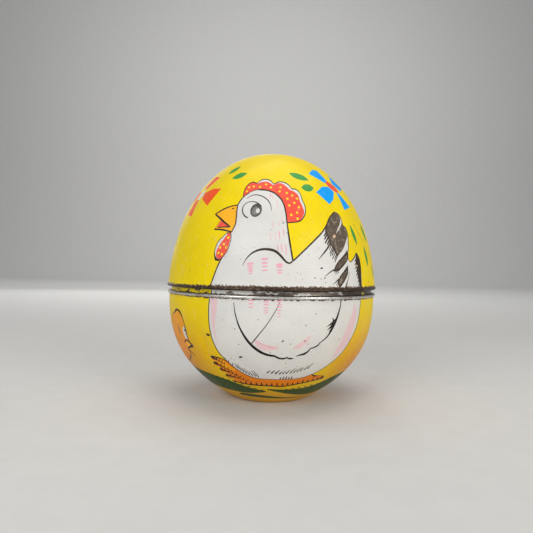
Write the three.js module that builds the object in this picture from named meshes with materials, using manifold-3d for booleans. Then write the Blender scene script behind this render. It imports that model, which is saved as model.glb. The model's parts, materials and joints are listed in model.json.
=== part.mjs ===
// A lithographed tin egg that opens at its middle, with a wind-up hopping chick standing inside it.
// Millimetres, +Z up, origin at the centre of the egg's flat foot. The hen's side of the egg faces -Y,
// and the chick faces -X with its winding key on the -Y side.

import * as THREE from "three";
import { mergeVertices } from "three/addons/utils/BufferGeometryUtils.js";
import Module from "manifold-3d";

const wasm = await Module();
wasm.setup();

// ---------------------------------------------------------------- driving dimensions
const WALL = 0.5; // tinplate with its lacquer, both egg halves and the chick's shells
const EGG_SIDES = 40;

const SEAM_Z = 40.5; // height of the lower half's shoulder bead
const BASE_R = 40.2; // lower half at the seam
const BASE_DEPTH = 46; // where the lower half's curve would close if it had no foot
const LID_R = 40.6; // upper half at the seam
const LID_HEIGHT = 54.3; // seam to the top of the egg
const FOOT_RECESS_R = 12; // pressed-up panel in the foot
const FOOT_RECESS = 0.8;
const NECK_R = 39.3; // neck of the lower half, which the lid slides over
const NECK_TOP = 46.5;
const LID_RIM_Z = 42.5; // lower edge of the lid

const CHICK_DROP = 1.6; // the chick is drawn this far above where it stands
const SHELL_HALF_WIDTH = 16; // chick's body, from its middle plane
const HEAD_HALF_WIDTH = 12.5;
const SHELL_GAP = 0.15; // from the middle plane to a shell's edge
const SHELL_OPEN_Z = 17; // the shells stop here, open below for the legs
const HUB = [2, 35]; // x, z of the point that the chick's outline is drawn around

const PLATE_INNER = 6.6; // clockwork frame plates, from the middle plane
const PLATE_THICK = 0.6;
const PLATE_OUTER = PLATE_INNER + PLATE_THICK;

const TABS = [
  [-7, 28.2],
  [13.8, 26.2],
]; // x, z of the tabs that hold each shell to its plate
const TAB_WIDTH = 3.4;
const TAB_REACH = 5.7; // from the middle plane to a tab's end

const MODULE = 0.5; // gear tooth size
const GREAT_TEETH = 36;
const PINION_TEETH = 8;
const SECOND_TEETH = 24;
const ARBOR_R = 0.8;
const HOLE_CLEARANCE = 0.12; // radial, every pin in every hole

const WIND_AXIS = [4.5, 33.5]; // x, z of the winding arbor
const TRAIN_ANGLE_1 = THREE.MathUtils.degToRad(232); // winding arbor to second arbor
const TRAIN_ANGLE_2 = THREE.MathUtils.degToRad(-28); // second arbor to crank arbor
const CRANK_R = 1.2; // throw of the crank pin
const CRANK_PIN_R = 0.5;
const CRANK_SEAT_R = 0.5; // the arbor's end that carries the crank disc
const LEG_PIVOT = [12.4, 20.6]; // x, z of the pin that the legs swing on
const LEG_INNER = 8.9; // legs, from the middle plane
const LEG_THICK = 0.7;
const FOOT_Z = 4.2; // underside of the chick's feet inside the egg
const FOOT_THICK = 0.6;
const FOOT_Y = 8; // centre line of a foot

// ---------------------------------------------------------------- materials
const paint = (color, roughness = 0.35) =>
  new THREE.MeshStandardMaterial({ color, roughness, metalness: 0.1 });
const metal = (color, roughness = 0.4) =>
  new THREE.MeshStandardMaterial({ color, roughness, metalness: 1 });
const EGG_YELLOW = paint(0xead50a);
const CHICK_YELLOW = paint(0xf2c81e);
const FOOT_ORANGE = paint(0xe8761a);
const STEEL = metal(0x9a9a98);
const SPRING_STEEL = metal(0x4a4f5a, 0.3);
const BRASS = metal(0xb5974f);
const TINNED = metal(0xb9bab8, 0.3);

// ---------------------------------------------------------------- helpers
const onCircle = (centre, radius, angle) => [
  centre[0] + radius * Math.cos(angle),
  centre[1] + radius * Math.sin(angle),
];

function toSolid(geometry) {
  const bare = geometry.index ? geometry.toNonIndexed() : geometry.clone();
  bare.deleteAttribute("normal");
  bare.deleteAttribute("uv");
  const merged = mergeVertices(bare, 1e-4);
  return new wasm.Manifold(
    new wasm.Mesh({
      numProp: 3,
      vertProperties: merged.attributes.position.array,
      triVerts: new Uint32Array(merged.index.array),
    }),
  );
}

function toGeometry(solid) {
  const mesh = solid.getMesh();
  const geometry = new THREE.BufferGeometry();
  geometry.setAttribute(
    "position",
    new THREE.Float32BufferAttribute(mesh.vertProperties, 3),
  );
  geometry.setIndex([...mesh.triVerts]);
  return geometry;
}

const cut = (geometry, ...tools) =>
  toGeometry(
    tools.reduce((left, tool) => left.subtract(toSolid(tool)), toSolid(geometry)),
  );
const join = (geometry, ...others) =>
  toGeometry(
    others.reduce((sum, other) => sum.add(toSolid(other)), toSolid(geometry)),
  );

// A solid of revolution about Z from its [radius, z] outline.
const turnedAboutZ = (outline, sides) =>
  new THREE.LatheGeometry(
    outline.map(([r, z]) => new THREE.Vector2(r, z)),
    sides,
  ).rotateX(Math.PI / 2);

// A turned arbor along Y from [radius, y] steps; it starts and ends on the axis.
const turnedAboutY = (steps, sides) =>
  new THREE.LatheGeometry(
    [[0, steps[0][1]], ...steps, [0, steps.at(-1)[1]]].map(
      ([r, y]) => new THREE.Vector2(r, y),
    ),
    sides,
  );

// A round rod along Y between two heights.
const rod = (radius, yFrom, yTo, sides = 16) =>
  new THREE.CylinderGeometry(radius, radius, yTo - yFrom, sides).translate(
    0,
    (yFrom + yTo) / 2,
    0,
  );

// A sheet piece in the XZ plane that runs from yFrom to yTo.
function sheet(shape, yFrom, yTo, curveSegments = 8) {
  const depth = yTo - yFrom;
  return new THREE.ExtrudeGeometry(shape, {
    depth,
    bevelEnabled: false,
    curveSegments,
  })
    .translate(0, 0, -depth)
    .rotateX(Math.PI / 2)
    .translate(0, yFrom, 0);
}

const polygon = (points) =>
  new THREE.Shape(points.map(([x, y]) => new THREE.Vector2(x, y)));

function punch(shape, [x, y], radius) {
  shape.holes.push(
    new THREE.Path().absarc(x, y, radius + HOLE_CLEARANCE, 0, 2 * Math.PI, true),
  );
  return shape;
}

const relativeTo = ([x0, y0], [x, y]) => [x - x0, y - y0];

function group(x, y, z, ...children) {
  const made = new THREE.Group();
  made.position.set(x, y, z);
  made.add(...children);
  return made;
}

function piece(name, geometry, material) {
  const mesh = new THREE.Mesh(geometry, material);
  mesh.name = name;
  return mesh;
}

// ---------------------------------------------------------------- the egg
// Radius of each half at a distance from the seam: flattened superellipses.
const baseRadius = (below) =>
  BASE_R * (1 - (below / BASE_DEPTH) ** 2.6) ** (1 / 1.3);
const lidRadius = (above) =>
  LID_R * Math.max(0, 1 - (above / LID_HEIGHT) ** 1.95) ** (1 / 2.17);

// A [radius, z] outline moved inwards by a wall's thickness along its normals.
function insideOf(outline, thickness) {
  return outline.map(([r, z], i) => {
    const [r0, z0] = outline[Math.max(i - 1, 0)];
    const [r1, z1] = outline[Math.min(i + 1, outline.length - 1)];
    const length = Math.hypot(r1 - r0, z1 - z0);
    return [
      r - (thickness * (z1 - z0)) / length,
      z + (thickness * (r1 - r0)) / length,
    ];
  });
}

function eggBase() {
  const steps = 9;
  const wallTop = 0.6; // the wall ends this far below the bead
  const outer = [];
  for (let i = 0; i <= steps; i++) {
    const below =
      SEAM_Z - (SEAM_Z - wallTop) * (1 - Math.cos((Math.PI / 2) * (i / steps)));
    outer.push([baseRadius(below), SEAM_Z - below]);
  }
  const inner = insideOf(outer, WALL).slice(1).reverse();
  const floor = FOOT_RECESS + WALL;
  return turnedAboutZ(
    [
      [0, FOOT_RECESS],
      [FOOT_RECESS_R, FOOT_RECESS],
      [FOOT_RECESS_R + 0.8, 0],
      ...outer,
      [BASE_R + 0.5, SEAM_Z - 0.3], // shoulder bead
      [BASE_R + 0.6, SEAM_Z + 0.1],
      [BASE_R + 0.3, SEAM_Z + 0.5],
      [NECK_R, SEAM_Z + 0.6],
      [NECK_R, NECK_TOP - 0.3], // neck and its folded edge
      [NECK_R - 0.3, NECK_TOP],
      [NECK_R - 0.7, NECK_TOP - 0.3],
      [NECK_R - WALL, SEAM_Z + 0.2],
      [BASE_R - WALL, SEAM_Z - 0.3],
      ...inner,
      [FOOT_RECESS_R + 1.2, floor],
      [0, floor],
    ],
    EGG_SIDES,
  );
}

function eggLid() {
  const steps = 10;
  const wallBottom = LID_RIM_Z + 1.6 - SEAM_Z;
  const outer = [];
  for (let i = 0; i <= steps; i++) {
    const above =
      wallBottom + (LID_HEIGHT - wallBottom) * Math.sin((Math.PI / 2) * (i / steps));
    outer.push([lidRadius(above), SEAM_Z + above]);
  }
  outer[steps][0] = 0;
  const inner = insideOf(outer, WALL).reverse();
  inner[0] = [0, SEAM_Z + LID_HEIGHT - WALL];
  return turnedAboutZ(
    [
      ...inner,
      [NECK_R + 0.4, LID_RIM_Z + 1.3], // hem, folded inwards
      [NECK_R + 0.35, LID_RIM_Z + 0.3],
      [NECK_R + 0.7, LID_RIM_Z],
      [LID_R + 0.1, LID_RIM_Z],
      [LID_R + 0.4, LID_RIM_Z + 0.5],
      [LID_R + 0.3, LID_RIM_Z + 1.1],
      ...outer,
    ],
    EGG_SIDES,
  );
}

// ---------------------------------------------------------------- the chick's shells
// Side view of the chick, [x, z], drawn anticlockwise around HUB from the beak.
const CHICK_OUTLINE = [
  [-25.5, 52.5], // beak
  [-21, 49],
  [-18.5, 43.5], // throat
  [-21.5, 34],
  [-19.5, 22.5], // breast
  [-12, 14],
  [1, 11.5],
  [13.5, 13.5],
  [21.5, 21.5], // rump
  [25.5, 32],
  [30.5, 44.5], // tail
  [23, 44],
  [12.5, 44.5], // back
  [4.5, 48.5],
  [3.2, 56],
  [-2.2, 63], // head
  [-9.5, 66],
  [-16.5, 62.5],
  [-20, 56],
];

function chickOutline(steps) {
  const curve = new THREE.CatmullRomCurve3(
    CHICK_OUTLINE.map(([x, z]) => new THREE.Vector3(x, 0, z)),
    true,
  );
  return curve.getPoints(steps).slice(0, steps);
}

// Half the body's width at a height: the head is slimmer than the body.
const halfWidth = (z) =>
  THREE.MathUtils.lerp(
    SHELL_HALF_WIDTH,
    HEAD_HALF_WIDTH,
    THREE.MathUtils.smoothstep(z, 36, 52),
  );

// A closed half of the chick's body, `inset` inside its outer skin: outline rings that shrink to HUB
// while they bulge out along Y. side is -1 for the left half and 1 for the right.
function chickForm(side, inset, edgeY) {
  const steps = 38;
  const rings = [1, 0.96, 0.88, 0.76, 0.6, 0.4, 0.2];
  const outline = chickOutline(steps);
  const positions = [];
  const index = [];
  for (const ring of rings)
    for (const { x, z } of outline) {
      const [dx, dz] = relativeTo(HUB, [x, z]);
      const reach = ring * (1 - inset / Math.hypot(dx, dz));
      const height = HUB[1] + dz * reach;
      const bulge = Math.sqrt(1 - ring ** 4) * (halfWidth(height) - inset - edgeY);
      positions.push(HUB[0] + dx * reach, side * (edgeY + bulge), height);
    }
  const crown = positions.length / 3;
  positions.push(HUB[0], side * (halfWidth(HUB[1]) - inset), HUB[1]);
  positions.push(HUB[0], side * edgeY, HUB[1]);
  // A face seen from outside on the left half; the right half's are turned round.
  const face = (a, b, c) => index.push(...(side < 0 ? [a, b, c] : [a, c, b]));
  for (let i = 0; i < steps; i++) {
    const next = (i + 1) % steps;
    for (let ring = 0; ring + 1 < rings.length; ring++) {
      const [a, b] = [ring * steps + i, ring * steps + next];
      face(a, b, b + steps);
      face(a, b + steps, a + steps);
    }
    const last = (rings.length - 1) * steps;
    face(last + i, last + next, crown);
    face(next, i, crown + 1);
  }
  const geometry = new THREE.BufferGeometry();
  geometry.setAttribute("position", new THREE.Float32BufferAttribute(positions, 3));
  geometry.setIndex(index);
  return geometry;
}

// The pressed tin half with the two tabs that pass through slots in its frame plate.
function chickShell(side) {
  const outer = toSolid(chickForm(side, 0, SHELL_GAP));
  const hollow = toSolid(chickForm(side, WALL, SHELL_GAP - 0.05));
  const below = toSolid(
    new THREE.BoxGeometry(80, 80, 40).translate(0, 0, SHELL_OPEN_Z - 20),
  );
  let shell = outer.subtract(hollow).subtract(below);
  for (const [x, z] of TABS) {
    const length = SHELL_HALF_WIDTH - TAB_REACH;
    const tab = new THREE.BoxGeometry(TAB_WIDTH, length, WALL).translate(
      x,
      side * (TAB_REACH + length / 2),
      z,
    );
    shell = shell.add(toSolid(tab).intersect(outer));
  }
  if (side < 0) {
    const keyHole = rod(2, -SHELL_HALF_WIDTH - 2, -PLATE_OUTER - 1, 16);
    shell = shell.subtract(toSolid(keyHole.translate(WIND_AXIS[0], 0, WIND_AXIS[1])));
  }
  return toGeometry(shell);
}

// ---------------------------------------------------------------- clockwork
const pitchR = (teeth) => (MODULE * teeth) / 2;
const SECOND_AXIS = onCircle(
  WIND_AXIS,
  pitchR(GREAT_TEETH) + pitchR(PINION_TEETH),
  TRAIN_ANGLE_1,
);
const CRANK_AXIS = onCircle(
  SECOND_AXIS,
  pitchR(SECOND_TEETH) + pitchR(PINION_TEETH),
  TRAIN_ANGLE_2,
);
const PILLARS = { front_top: [-8.2, 38.5], rear_top: [15.2, 38], front_bottom: [-8.2, 18.6] };
const PILLAR_R = 1.2;
const MESHED = Math.PI / PINION_TEETH; // half a pinion tooth: its gap faces the wheel's tooth

// A toothed wheel with one tooth centred at an angle.
function gearShape(teeth, toothAngle, boreR) {
  const pitch = (2 * Math.PI) / teeth;
  const tipR = pitchR(teeth) + 0.72 * MODULE;
  const rootR = pitchR(teeth) - 1.1 * MODULE;
  const points = [];
  for (let i = 0; i < teeth; i++) {
    const middle = toothAngle + i * pitch;
    points.push(onCircle([0, 0], rootR, middle - 0.3 * pitch));
    points.push(onCircle([0, 0], tipR, middle - 0.1 * pitch));
    points.push(onCircle([0, 0], tipR, middle + 0.1 * pitch));
    points.push(onCircle([0, 0], rootR, middle + 0.3 * pitch));
  }
  return punch(polygon(points), [0, 0], boreR);
}

function framePlate() {
  const shape = polygon([
    [-10.5, 16.8],
    [14, 17.2],
    [16.2, 24],
    [17.6, 36],
    [16.6, 40.2],
    [-6, 40.9],
    [-10.5, 39.4],
  ]);
  for (const centre of Object.values(PILLARS)) punch(shape, centre, 0.7);
  punch(shape, WIND_AXIS, 1.2);
  punch(shape, SECOND_AXIS, ARBOR_R);
  punch(shape, CRANK_AXIS, ARBOR_R);
  punch(shape, LEG_PIVOT, 1);
  for (const [x, z] of TABS) {
    const [across, up] = [TAB_WIDTH / 2 + 0.3, WALL / 2 + 0.3];
    const slot = [
      [x - across, z - up],
      [x - across, z + up],
      [x + across, z + up],
      [x + across, z - up],
    ];
    shape.holes.push(new THREE.Path(slot.map(([px, pz]) => new THREE.Vector2(px, pz))));
  }
  return shape;
}

// A spacer pillar whose thinner ends pass through both plates.
function pillar() {
  const gap = 0.1;
  const shoulder = PLATE_INNER - gap;
  const end = PLATE_OUTER + 0.4;
  return turnedAboutY(
    [
      [0.7, -end],
      [0.7, -shoulder],
      [PILLAR_R, -shoulder],
      [PILLAR_R, shoulder],
      [0.7, shoulder],
      [0.7, end],
    ],
    12,
  );
}

const KEY_HUB_FROM = -SHELL_HALF_WIDTH - 7; // far end of the key's hub
const KEY_HUB_TO = -SHELL_HALF_WIDTH - 1;

function windingArbor() {
  return turnedAboutY(
    [
      [1.2, KEY_HUB_FROM + 1.5],
      [1.2, PLATE_OUTER + 0.3],
    ],
    16,
  );
}

// Butterfly key: a hub with a bore for the arbor and a flat two-lobed grip.
function windingKey() {
  const gripY = KEY_HUB_FROM - 2.5;
  const grip = new THREE.Shape();
  grip.moveTo(-2.2, 3.4);
  grip.lineTo(-2.2, 1);
  grip.absarc(-5.4, -1, 4, 0.6, 5.2, false);
  grip.lineTo(0, -2.6);
  grip.lineTo(5.4 + 4 * Math.cos(4.22), -1 + 4 * Math.sin(4.22));
  grip.absarc(5.4, -1, 4, 4.22, 2.54, false);
  grip.lineTo(2.2, 1);
  grip.lineTo(2.2, 3.4);
  for (const x of [-5.6, 5.6])
    grip.holes.push(new THREE.Path().absarc(x, -1, 2.1, 0, 2 * Math.PI, true));
  const blade = new THREE.ExtrudeGeometry(grip, {
    depth: 1,
    bevelEnabled: false,
    curveSegments: 7,
  }).translate(0, gripY, -0.5);
  const hub = rod(2, KEY_HUB_FROM, KEY_HUB_TO, 16);
  const bore = rod(1.2 + HOLE_CLEARANCE, KEY_HUB_FROM + 1.2, KEY_HUB_TO + 1, 16);
  return cut(join(hub, blade), bore);
}

// Saw-toothed wheel on the arbor; its click rides on the great wheel.
const RATCHET_TEETH = 12;
const RATCHET_TIP_R = 5;
function ratchetWheel() {
  const points = [];
  for (let i = 0; i < RATCHET_TEETH; i++) {
    const angle = (i * 2 * Math.PI) / RATCHET_TEETH;
    points.push(onCircle([0, 0], RATCHET_TIP_R - 0.9, angle));
    points.push(onCircle([0, 0], RATCHET_TIP_R, angle + 0.04));
  }
  return punch(polygon(points), [0, 0], 1.2);
}

const CLICK_RIVET = [6.9, -1.5]; // from the winding axis
function clickShape() {
  const shape = polygon([
    [6.1, -2.7],
    [7.9, -2.4],
    [7.9, -0.6],
    [6.3, 2.2],
    [4.3, 3.7],
    [4.1, 3.45],
    [5.7, 1.3],
  ]);
  return punch(shape, CLICK_RIVET, 0.4);
}

// Spiral strip around the arbor, whose outer end bends round the rear top pillar.
function mainspring() {
  const turns = 5.25;
  const stepsPerTurn = 18;
  const thick = 0.4;
  const coreR = 2;
  const eyeR = PILLAR_R + 0.3;
  const pillarAt = relativeTo(WIND_AXIS, PILLARS.rear_top);
  const endAngle = Math.atan2(pillarAt[1], pillarAt[0]);
  const rimR = Math.hypot(...pillarAt) - eyeR - thick;
  const steps = Math.round(turns * stepsPerTurn);
  const inside = [];
  const outside = [];
  for (let i = 0; i <= steps; i++) {
    const share = i / steps;
    const angle = endAngle - 2 * Math.PI * turns * (1 - share);
    const radius = coreR + (rimR - coreR) * share;
    inside.push(onCircle([0, 0], radius, angle));
    outside.push(onCircle([0, 0], radius + thick, angle));
  }
  for (let turned = 0.6; turned < 4.3; turned += 0.6) {
    const angle = endAngle + Math.PI - turned;
    inside.push(onCircle(pillarAt, eyeR + thick, angle));
    outside.push(onCircle(pillarAt, eyeR, angle));
  }
  return polygon([...outside, ...inside.reverse()]);
}

// ---------------------------------------------------------------- legs and feet
const towards = relativeTo(LEG_PIVOT, CRANK_AXIS);
const pivotToCrank = Math.hypot(...towards);
const swing = Math.asin(CRANK_R / pivotToCrank); // half of the legs' travel
const pinAngle = Math.atan2(towards[1], towards[0]) + swing; // legs at the bottom of their stroke
const CRANK_PIN = onCircle(LEG_PIVOT, Math.sqrt(pivotToCrank ** 2 - CRANK_R ** 2), pinAngle);
const LEG_END_R = 2;
const ANKLE = [-10.2, -12.6]; // from the leg pivot
const CROSS_BAR = [-10.2, -8.6];

function legShape(slotted) {
  const shape = new THREE.Shape();
  shape.absarc(0, 0, LEG_END_R, -Math.PI / 2, Math.PI / 2, false);
  for (const [x, z] of [
    [-12.4, 2.2],
    [-13, -2.4],
    [-12.6, -7],
    [-12.6, -14.8],
    [-7.9, -14.8],
    [-7.4, -7.5],
    [-4.2, -3],
  ])
    shape.lineTo(x, z);
  punch(shape, [0, 0], 1);
  punch(shape, ANKLE, 0.8);
  punch(shape, CROSS_BAR, 0.8);
  if (slotted) {
    const slotR = CRANK_PIN_R + 0.2;
    const quarter = Math.PI / 2;
    const near = onCircle([0, 0], pivotToCrank - CRANK_R, pinAngle);
    const far = onCircle([0, 0], pivotToCrank + CRANK_R, pinAngle);
    const slot = new THREE.Path();
    slot.absarc(...near, slotR, pinAngle + quarter, pinAngle + 3 * quarter, false);
    slot.absarc(...far, slotR, pinAngle - quarter, pinAngle + quarter, false);
    shape.holes.push(slot);
  }
  return shape;
}

// A stamped three-toed foot with an upright lug that is riveted to the leg.
function foot(side) {
  const toes = polygon([
    [8, -1.3],
    [8.6, 0],
    [8, 1.3],
    [2.5, 2.2],
    [-3.5, 2.6],
    [-9.6, 4.6],
    [-10.4, 3.4],
    [-6, 1.7],
    [-13.4, 1.1],
    [-14.4, 0],
    [-13.4, -1.1],
    [-6, -1.7],
    [-10.4, -3.4],
    [-9.6, -4.6],
    [-3.5, -2.6],
    [2.5, -2.2],
  ]);
  const plate = new THREE.ExtrudeGeometry(toes, {
    depth: FOOT_THICK,
    bevelEnabled: false,
  }).translate(0, side * FOOT_Y, FOOT_Z);
  const ankle = [LEG_PIVOT[0] + ANKLE[0], LEG_PIVOT[1] + ANKLE[1]];
  const lugTop = ankle[1] + 1.8;
  const lugShape = punch(
    polygon([
      [ankle[0] - 2.2, FOOT_Z + 0.1],
      [ankle[0] + 2.2, FOOT_Z + 0.1],
      [ankle[0] + 1.8, lugTop],
      [ankle[0] - 1.8, lugTop],
    ]),
    ankle,
    0.8,
  );
  const near = LEG_INNER - 0.3 - FOOT_THICK;
  const lug =
    side < 0
      ? sheet(lugShape, -near - FOOT_THICK, -near)
      : sheet(lugShape, near, near + FOOT_THICK);
  return join(plate, lug);
}

// ---------------------------------------------------------------- assembly
function legPair() {
  const outer = LEG_INNER + LEG_THICK;
  const rivets = [-1, 1].map((side) => {
    const [from, to] = [LEG_INNER - 1.2, outer + 0.4].map((y) => side * y);
    const name = side < 0 ? "ankle_rivet_left" : "ankle_rivet_right";
    return piece(name, rod(0.8, Math.min(from, to), Math.max(from, to), 12), STEEL);
  });
  return [
    group(
      LEG_PIVOT[0],
      0,
      LEG_PIVOT[1],
      piece("leg_left", sheet(legShape(false), -outer, -LEG_INNER), STEEL),
      piece("leg_right", sheet(legShape(true), LEG_INNER, outer), STEEL),
      group(
        CROSS_BAR[0],
        0,
        CROSS_BAR[1],
        piece("leg_cross_bar", rod(0.8, -outer - 0.4, outer + 0.4, 12), STEEL),
      ),
      group(ANKLE[0], 0, ANKLE[1], ...rivets),
    ),
    piece("foot_left", foot(-1), FOOT_ORANGE),
    piece("foot_right", foot(1), FOOT_ORANGE),
  ];
}

function clockwork() {
  const frame = framePlate();
  const pillars = Object.entries(PILLARS).map(([place, [x, z]]) =>
    group(x, 0, z, piece(`frame_pillar_${place}`, pillar(), STEEL)),
  );
  const arborEnd = PLATE_OUTER + 0.3;
  const winding = group(
    WIND_AXIS[0],
    0,
    WIND_AXIS[1],
    piece("winding_arbor", windingArbor(), STEEL),
    piece("winding_key", windingKey(), TINNED),
    piece("mainspring", sheet(mainspring(), -6.2, -1.3), SPRING_STEEL),
    piece("ratchet_wheel", sheet(ratchetWheel(), -0.7, 0.1), STEEL),
    piece("great_wheel", sheet(greatWheelShape(), 0.5, 1.4, 6), BRASS),
    piece("ratchet_click", sheet(clickShape(), -0.7, 0.1), STEEL),
    group(
      CLICK_RIVET[0],
      0,
      CLICK_RIVET[1],
      piece("click_rivet", rod(0.4, -1, 1.7, 8), STEEL),
    ),
  );
  const second = group(
    SECOND_AXIS[0],
    0,
    SECOND_AXIS[1],
    piece("intermediate_arbor", rod(ARBOR_R, -arborEnd, arborEnd, 12), STEEL),
    piece(
      "intermediate_pinion",
      sheet(gearShape(PINION_TEETH, TRAIN_ANGLE_1 + Math.PI + MESHED, ARBOR_R), 0, 2, 6),
      BRASS,
    ),
    piece(
      "intermediate_wheel",
      sheet(gearShape(SECOND_TEETH, TRAIN_ANGLE_2, ARBOR_R), 3, 3.8, 6),
      BRASS,
    ),
  );
  const crank = group(
    CRANK_AXIS[0],
    0,
    CRANK_AXIS[1],
    piece("crank_arbor", crankArbor(), STEEL),
    piece(
      "crank_pinion",
      sheet(gearShape(PINION_TEETH, TRAIN_ANGLE_2 + Math.PI + MESHED, ARBOR_R), 2.6, 4.2, 6),
      BRASS,
    ),
    piece("crank_disc", crankDisc(), STEEL),
  );
  const pin = rod(CRANK_PIN_R, PLATE_OUTER + 0.4, LEG_INNER - 0.3, 8);
  return [
    piece("frame_plate_left", sheet(frame, -PLATE_OUTER, -PLATE_INNER, 6), STEEL),
    piece("frame_plate_right", sheet(frame, PLATE_INNER, PLATE_OUTER, 6), STEEL),
    ...pillars,
    winding,
    second,
    crank,
    group(CRANK_PIN[0], 0, CRANK_PIN[1], piece("crank_pin", pin, STEEL)),
    group(
      LEG_PIVOT[0],
      0,
      LEG_PIVOT[1],
      piece("leg_pivot_pin", rod(1, -LEG_INNER - LEG_THICK - 0.5, LEG_INNER + LEG_THICK + 0.5), STEEL),
    ),
  ];
}

function greatWheelShape() {
  return punch(gearShape(GREAT_TEETH, TRAIN_ANGLE_1, 1.2), CLICK_RIVET, 0.4);
}

// The crank's arbor, with a thinner end that the crank disc sits on.
function crankArbor() {
  return turnedAboutY(
    [
      [ARBOR_R, -PLATE_OUTER - 0.3],
      [ARBOR_R, PLATE_OUTER + 0.1],
      [CRANK_SEAT_R, PLATE_OUTER + 0.1],
      [CRANK_SEAT_R, PLATE_OUTER + 1],
    ],
    12,
  );
}

function crankDisc() {
  const disc = new THREE.Shape().absarc(0, 0, 3.4, 0, 2 * Math.PI, false);
  punch(disc, [0, 0], CRANK_SEAT_R);
  const from = PLATE_OUTER + 0.3;
  const pinAt = relativeTo(CRANK_AXIS, CRANK_PIN);
  const seat = rod(CRANK_PIN_R + HOLE_CLEARANCE, from - 1, from + 2, 8);
  return cut(sheet(disc, from, from + 0.7), seat.translate(pinAt[0], 0, pinAt[1]));
}

const toy = new THREE.Group();
toy.add(
  piece("egg_base", eggBase(), EGG_YELLOW),
  piece("egg_lid", eggLid(), EGG_YELLOW),
  group(
    0,
    0,
    -CHICK_DROP,
    piece("chick_shell_left", chickShell(-1), CHICK_YELLOW),
    piece("chick_shell_right", chickShell(1), CHICK_YELLOW),
    ...clockwork(),
    ...legPair(),
  ),
);

export default toy;
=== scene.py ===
"""A worn, lithographed tin egg that opens at its middle, with a wind-up hopping chick inside it.

Lengths are millimetres until a mesh is made. +Z is up and the printed hen faces -Y.
On the egg a print point is (azimuth in degrees from -Y towards +X, height).
"""

import json
import math

import bpy
import numpy as np
from mathutils import Matrix, Vector
from mathutils.geometry import delaunay_2d_cdt


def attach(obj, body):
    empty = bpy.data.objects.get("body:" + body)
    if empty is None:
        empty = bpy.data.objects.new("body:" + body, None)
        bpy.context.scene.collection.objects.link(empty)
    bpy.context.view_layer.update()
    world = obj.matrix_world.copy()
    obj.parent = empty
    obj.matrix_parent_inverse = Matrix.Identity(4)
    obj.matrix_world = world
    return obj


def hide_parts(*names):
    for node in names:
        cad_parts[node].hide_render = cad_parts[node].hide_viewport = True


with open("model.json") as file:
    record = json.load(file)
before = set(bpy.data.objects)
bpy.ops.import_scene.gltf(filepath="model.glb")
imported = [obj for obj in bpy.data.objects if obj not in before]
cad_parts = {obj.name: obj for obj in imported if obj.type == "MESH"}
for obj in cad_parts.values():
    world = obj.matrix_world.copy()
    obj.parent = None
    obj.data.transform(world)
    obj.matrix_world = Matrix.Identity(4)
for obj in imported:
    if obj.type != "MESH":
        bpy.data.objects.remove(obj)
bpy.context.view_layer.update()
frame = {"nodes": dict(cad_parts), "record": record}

MM = 0.001

# ------------------------------------------------------------------ sizes, as in the CAD model
WALL = 0.5
SEAM_Z = 40.5
BASE_R, BASE_DEPTH, BASE_CURVE = 40.2, 46.0, (2.6, 1.3)
LID_R, LID_HEIGHT, LID_CURVE = 40.6, 54.3, (1.95, 2.17)
FOOT_RECESS_R, FOOT_RECESS = 12.0, 0.8
NECK_R, NECK_TOP = 39.3, 46.5
LID_RIM_Z = 42.5
CHICK_DROP = 1.6
SHELL_HALF_WIDTH, HEAD_HALF_WIDTH = 16.0, 12.5
SHELL_GAP = 0.15
SHELL_OPEN_Z = 17.0
SHELL_RINGS = 17
HUB = (2.0, 35.0)
WIND_AXIS = (4.5, 33.5)
KEY_HOLE_R = 2.0
TABS = ((-7.0, 28.2), (13.8, 26.2))  # x, z of the tabs that hold a shell to its frame plate
TAB_HALF_WIDTH, TAB_REACH, TAB_CORNER = 1.7, 5.7, 0.5

# ------------------------------------------------------------------ print layout
CUT_AZIMUTH = -105.0  # nothing is printed across this line
COLUMN_STEP = 3.0  # degrees between the columns of the egg's mesh
PRINT_TURNS = (0.0, 180.0)  # the scene is printed twice round the egg
UNROLL_R = 40.0  # radius that turns azimuth into a length
LINE_WEIGHT = 1.3  # how heavily every printed line is inked
TOUCHING = 1e-3  # flat points closer than this to an edge lie on it


# ------------------------------------------------------------------ shader helpers
def srgb(red, green, blue):
    """0-255 display values as a linear colour."""

    def linear(value):
        value /= 255.0
        return value / 12.92 if value <= 0.04045 else ((value + 0.055) / 1.055) ** 2.4

    return (linear(red), linear(green), linear(blue), 1.0)


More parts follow.
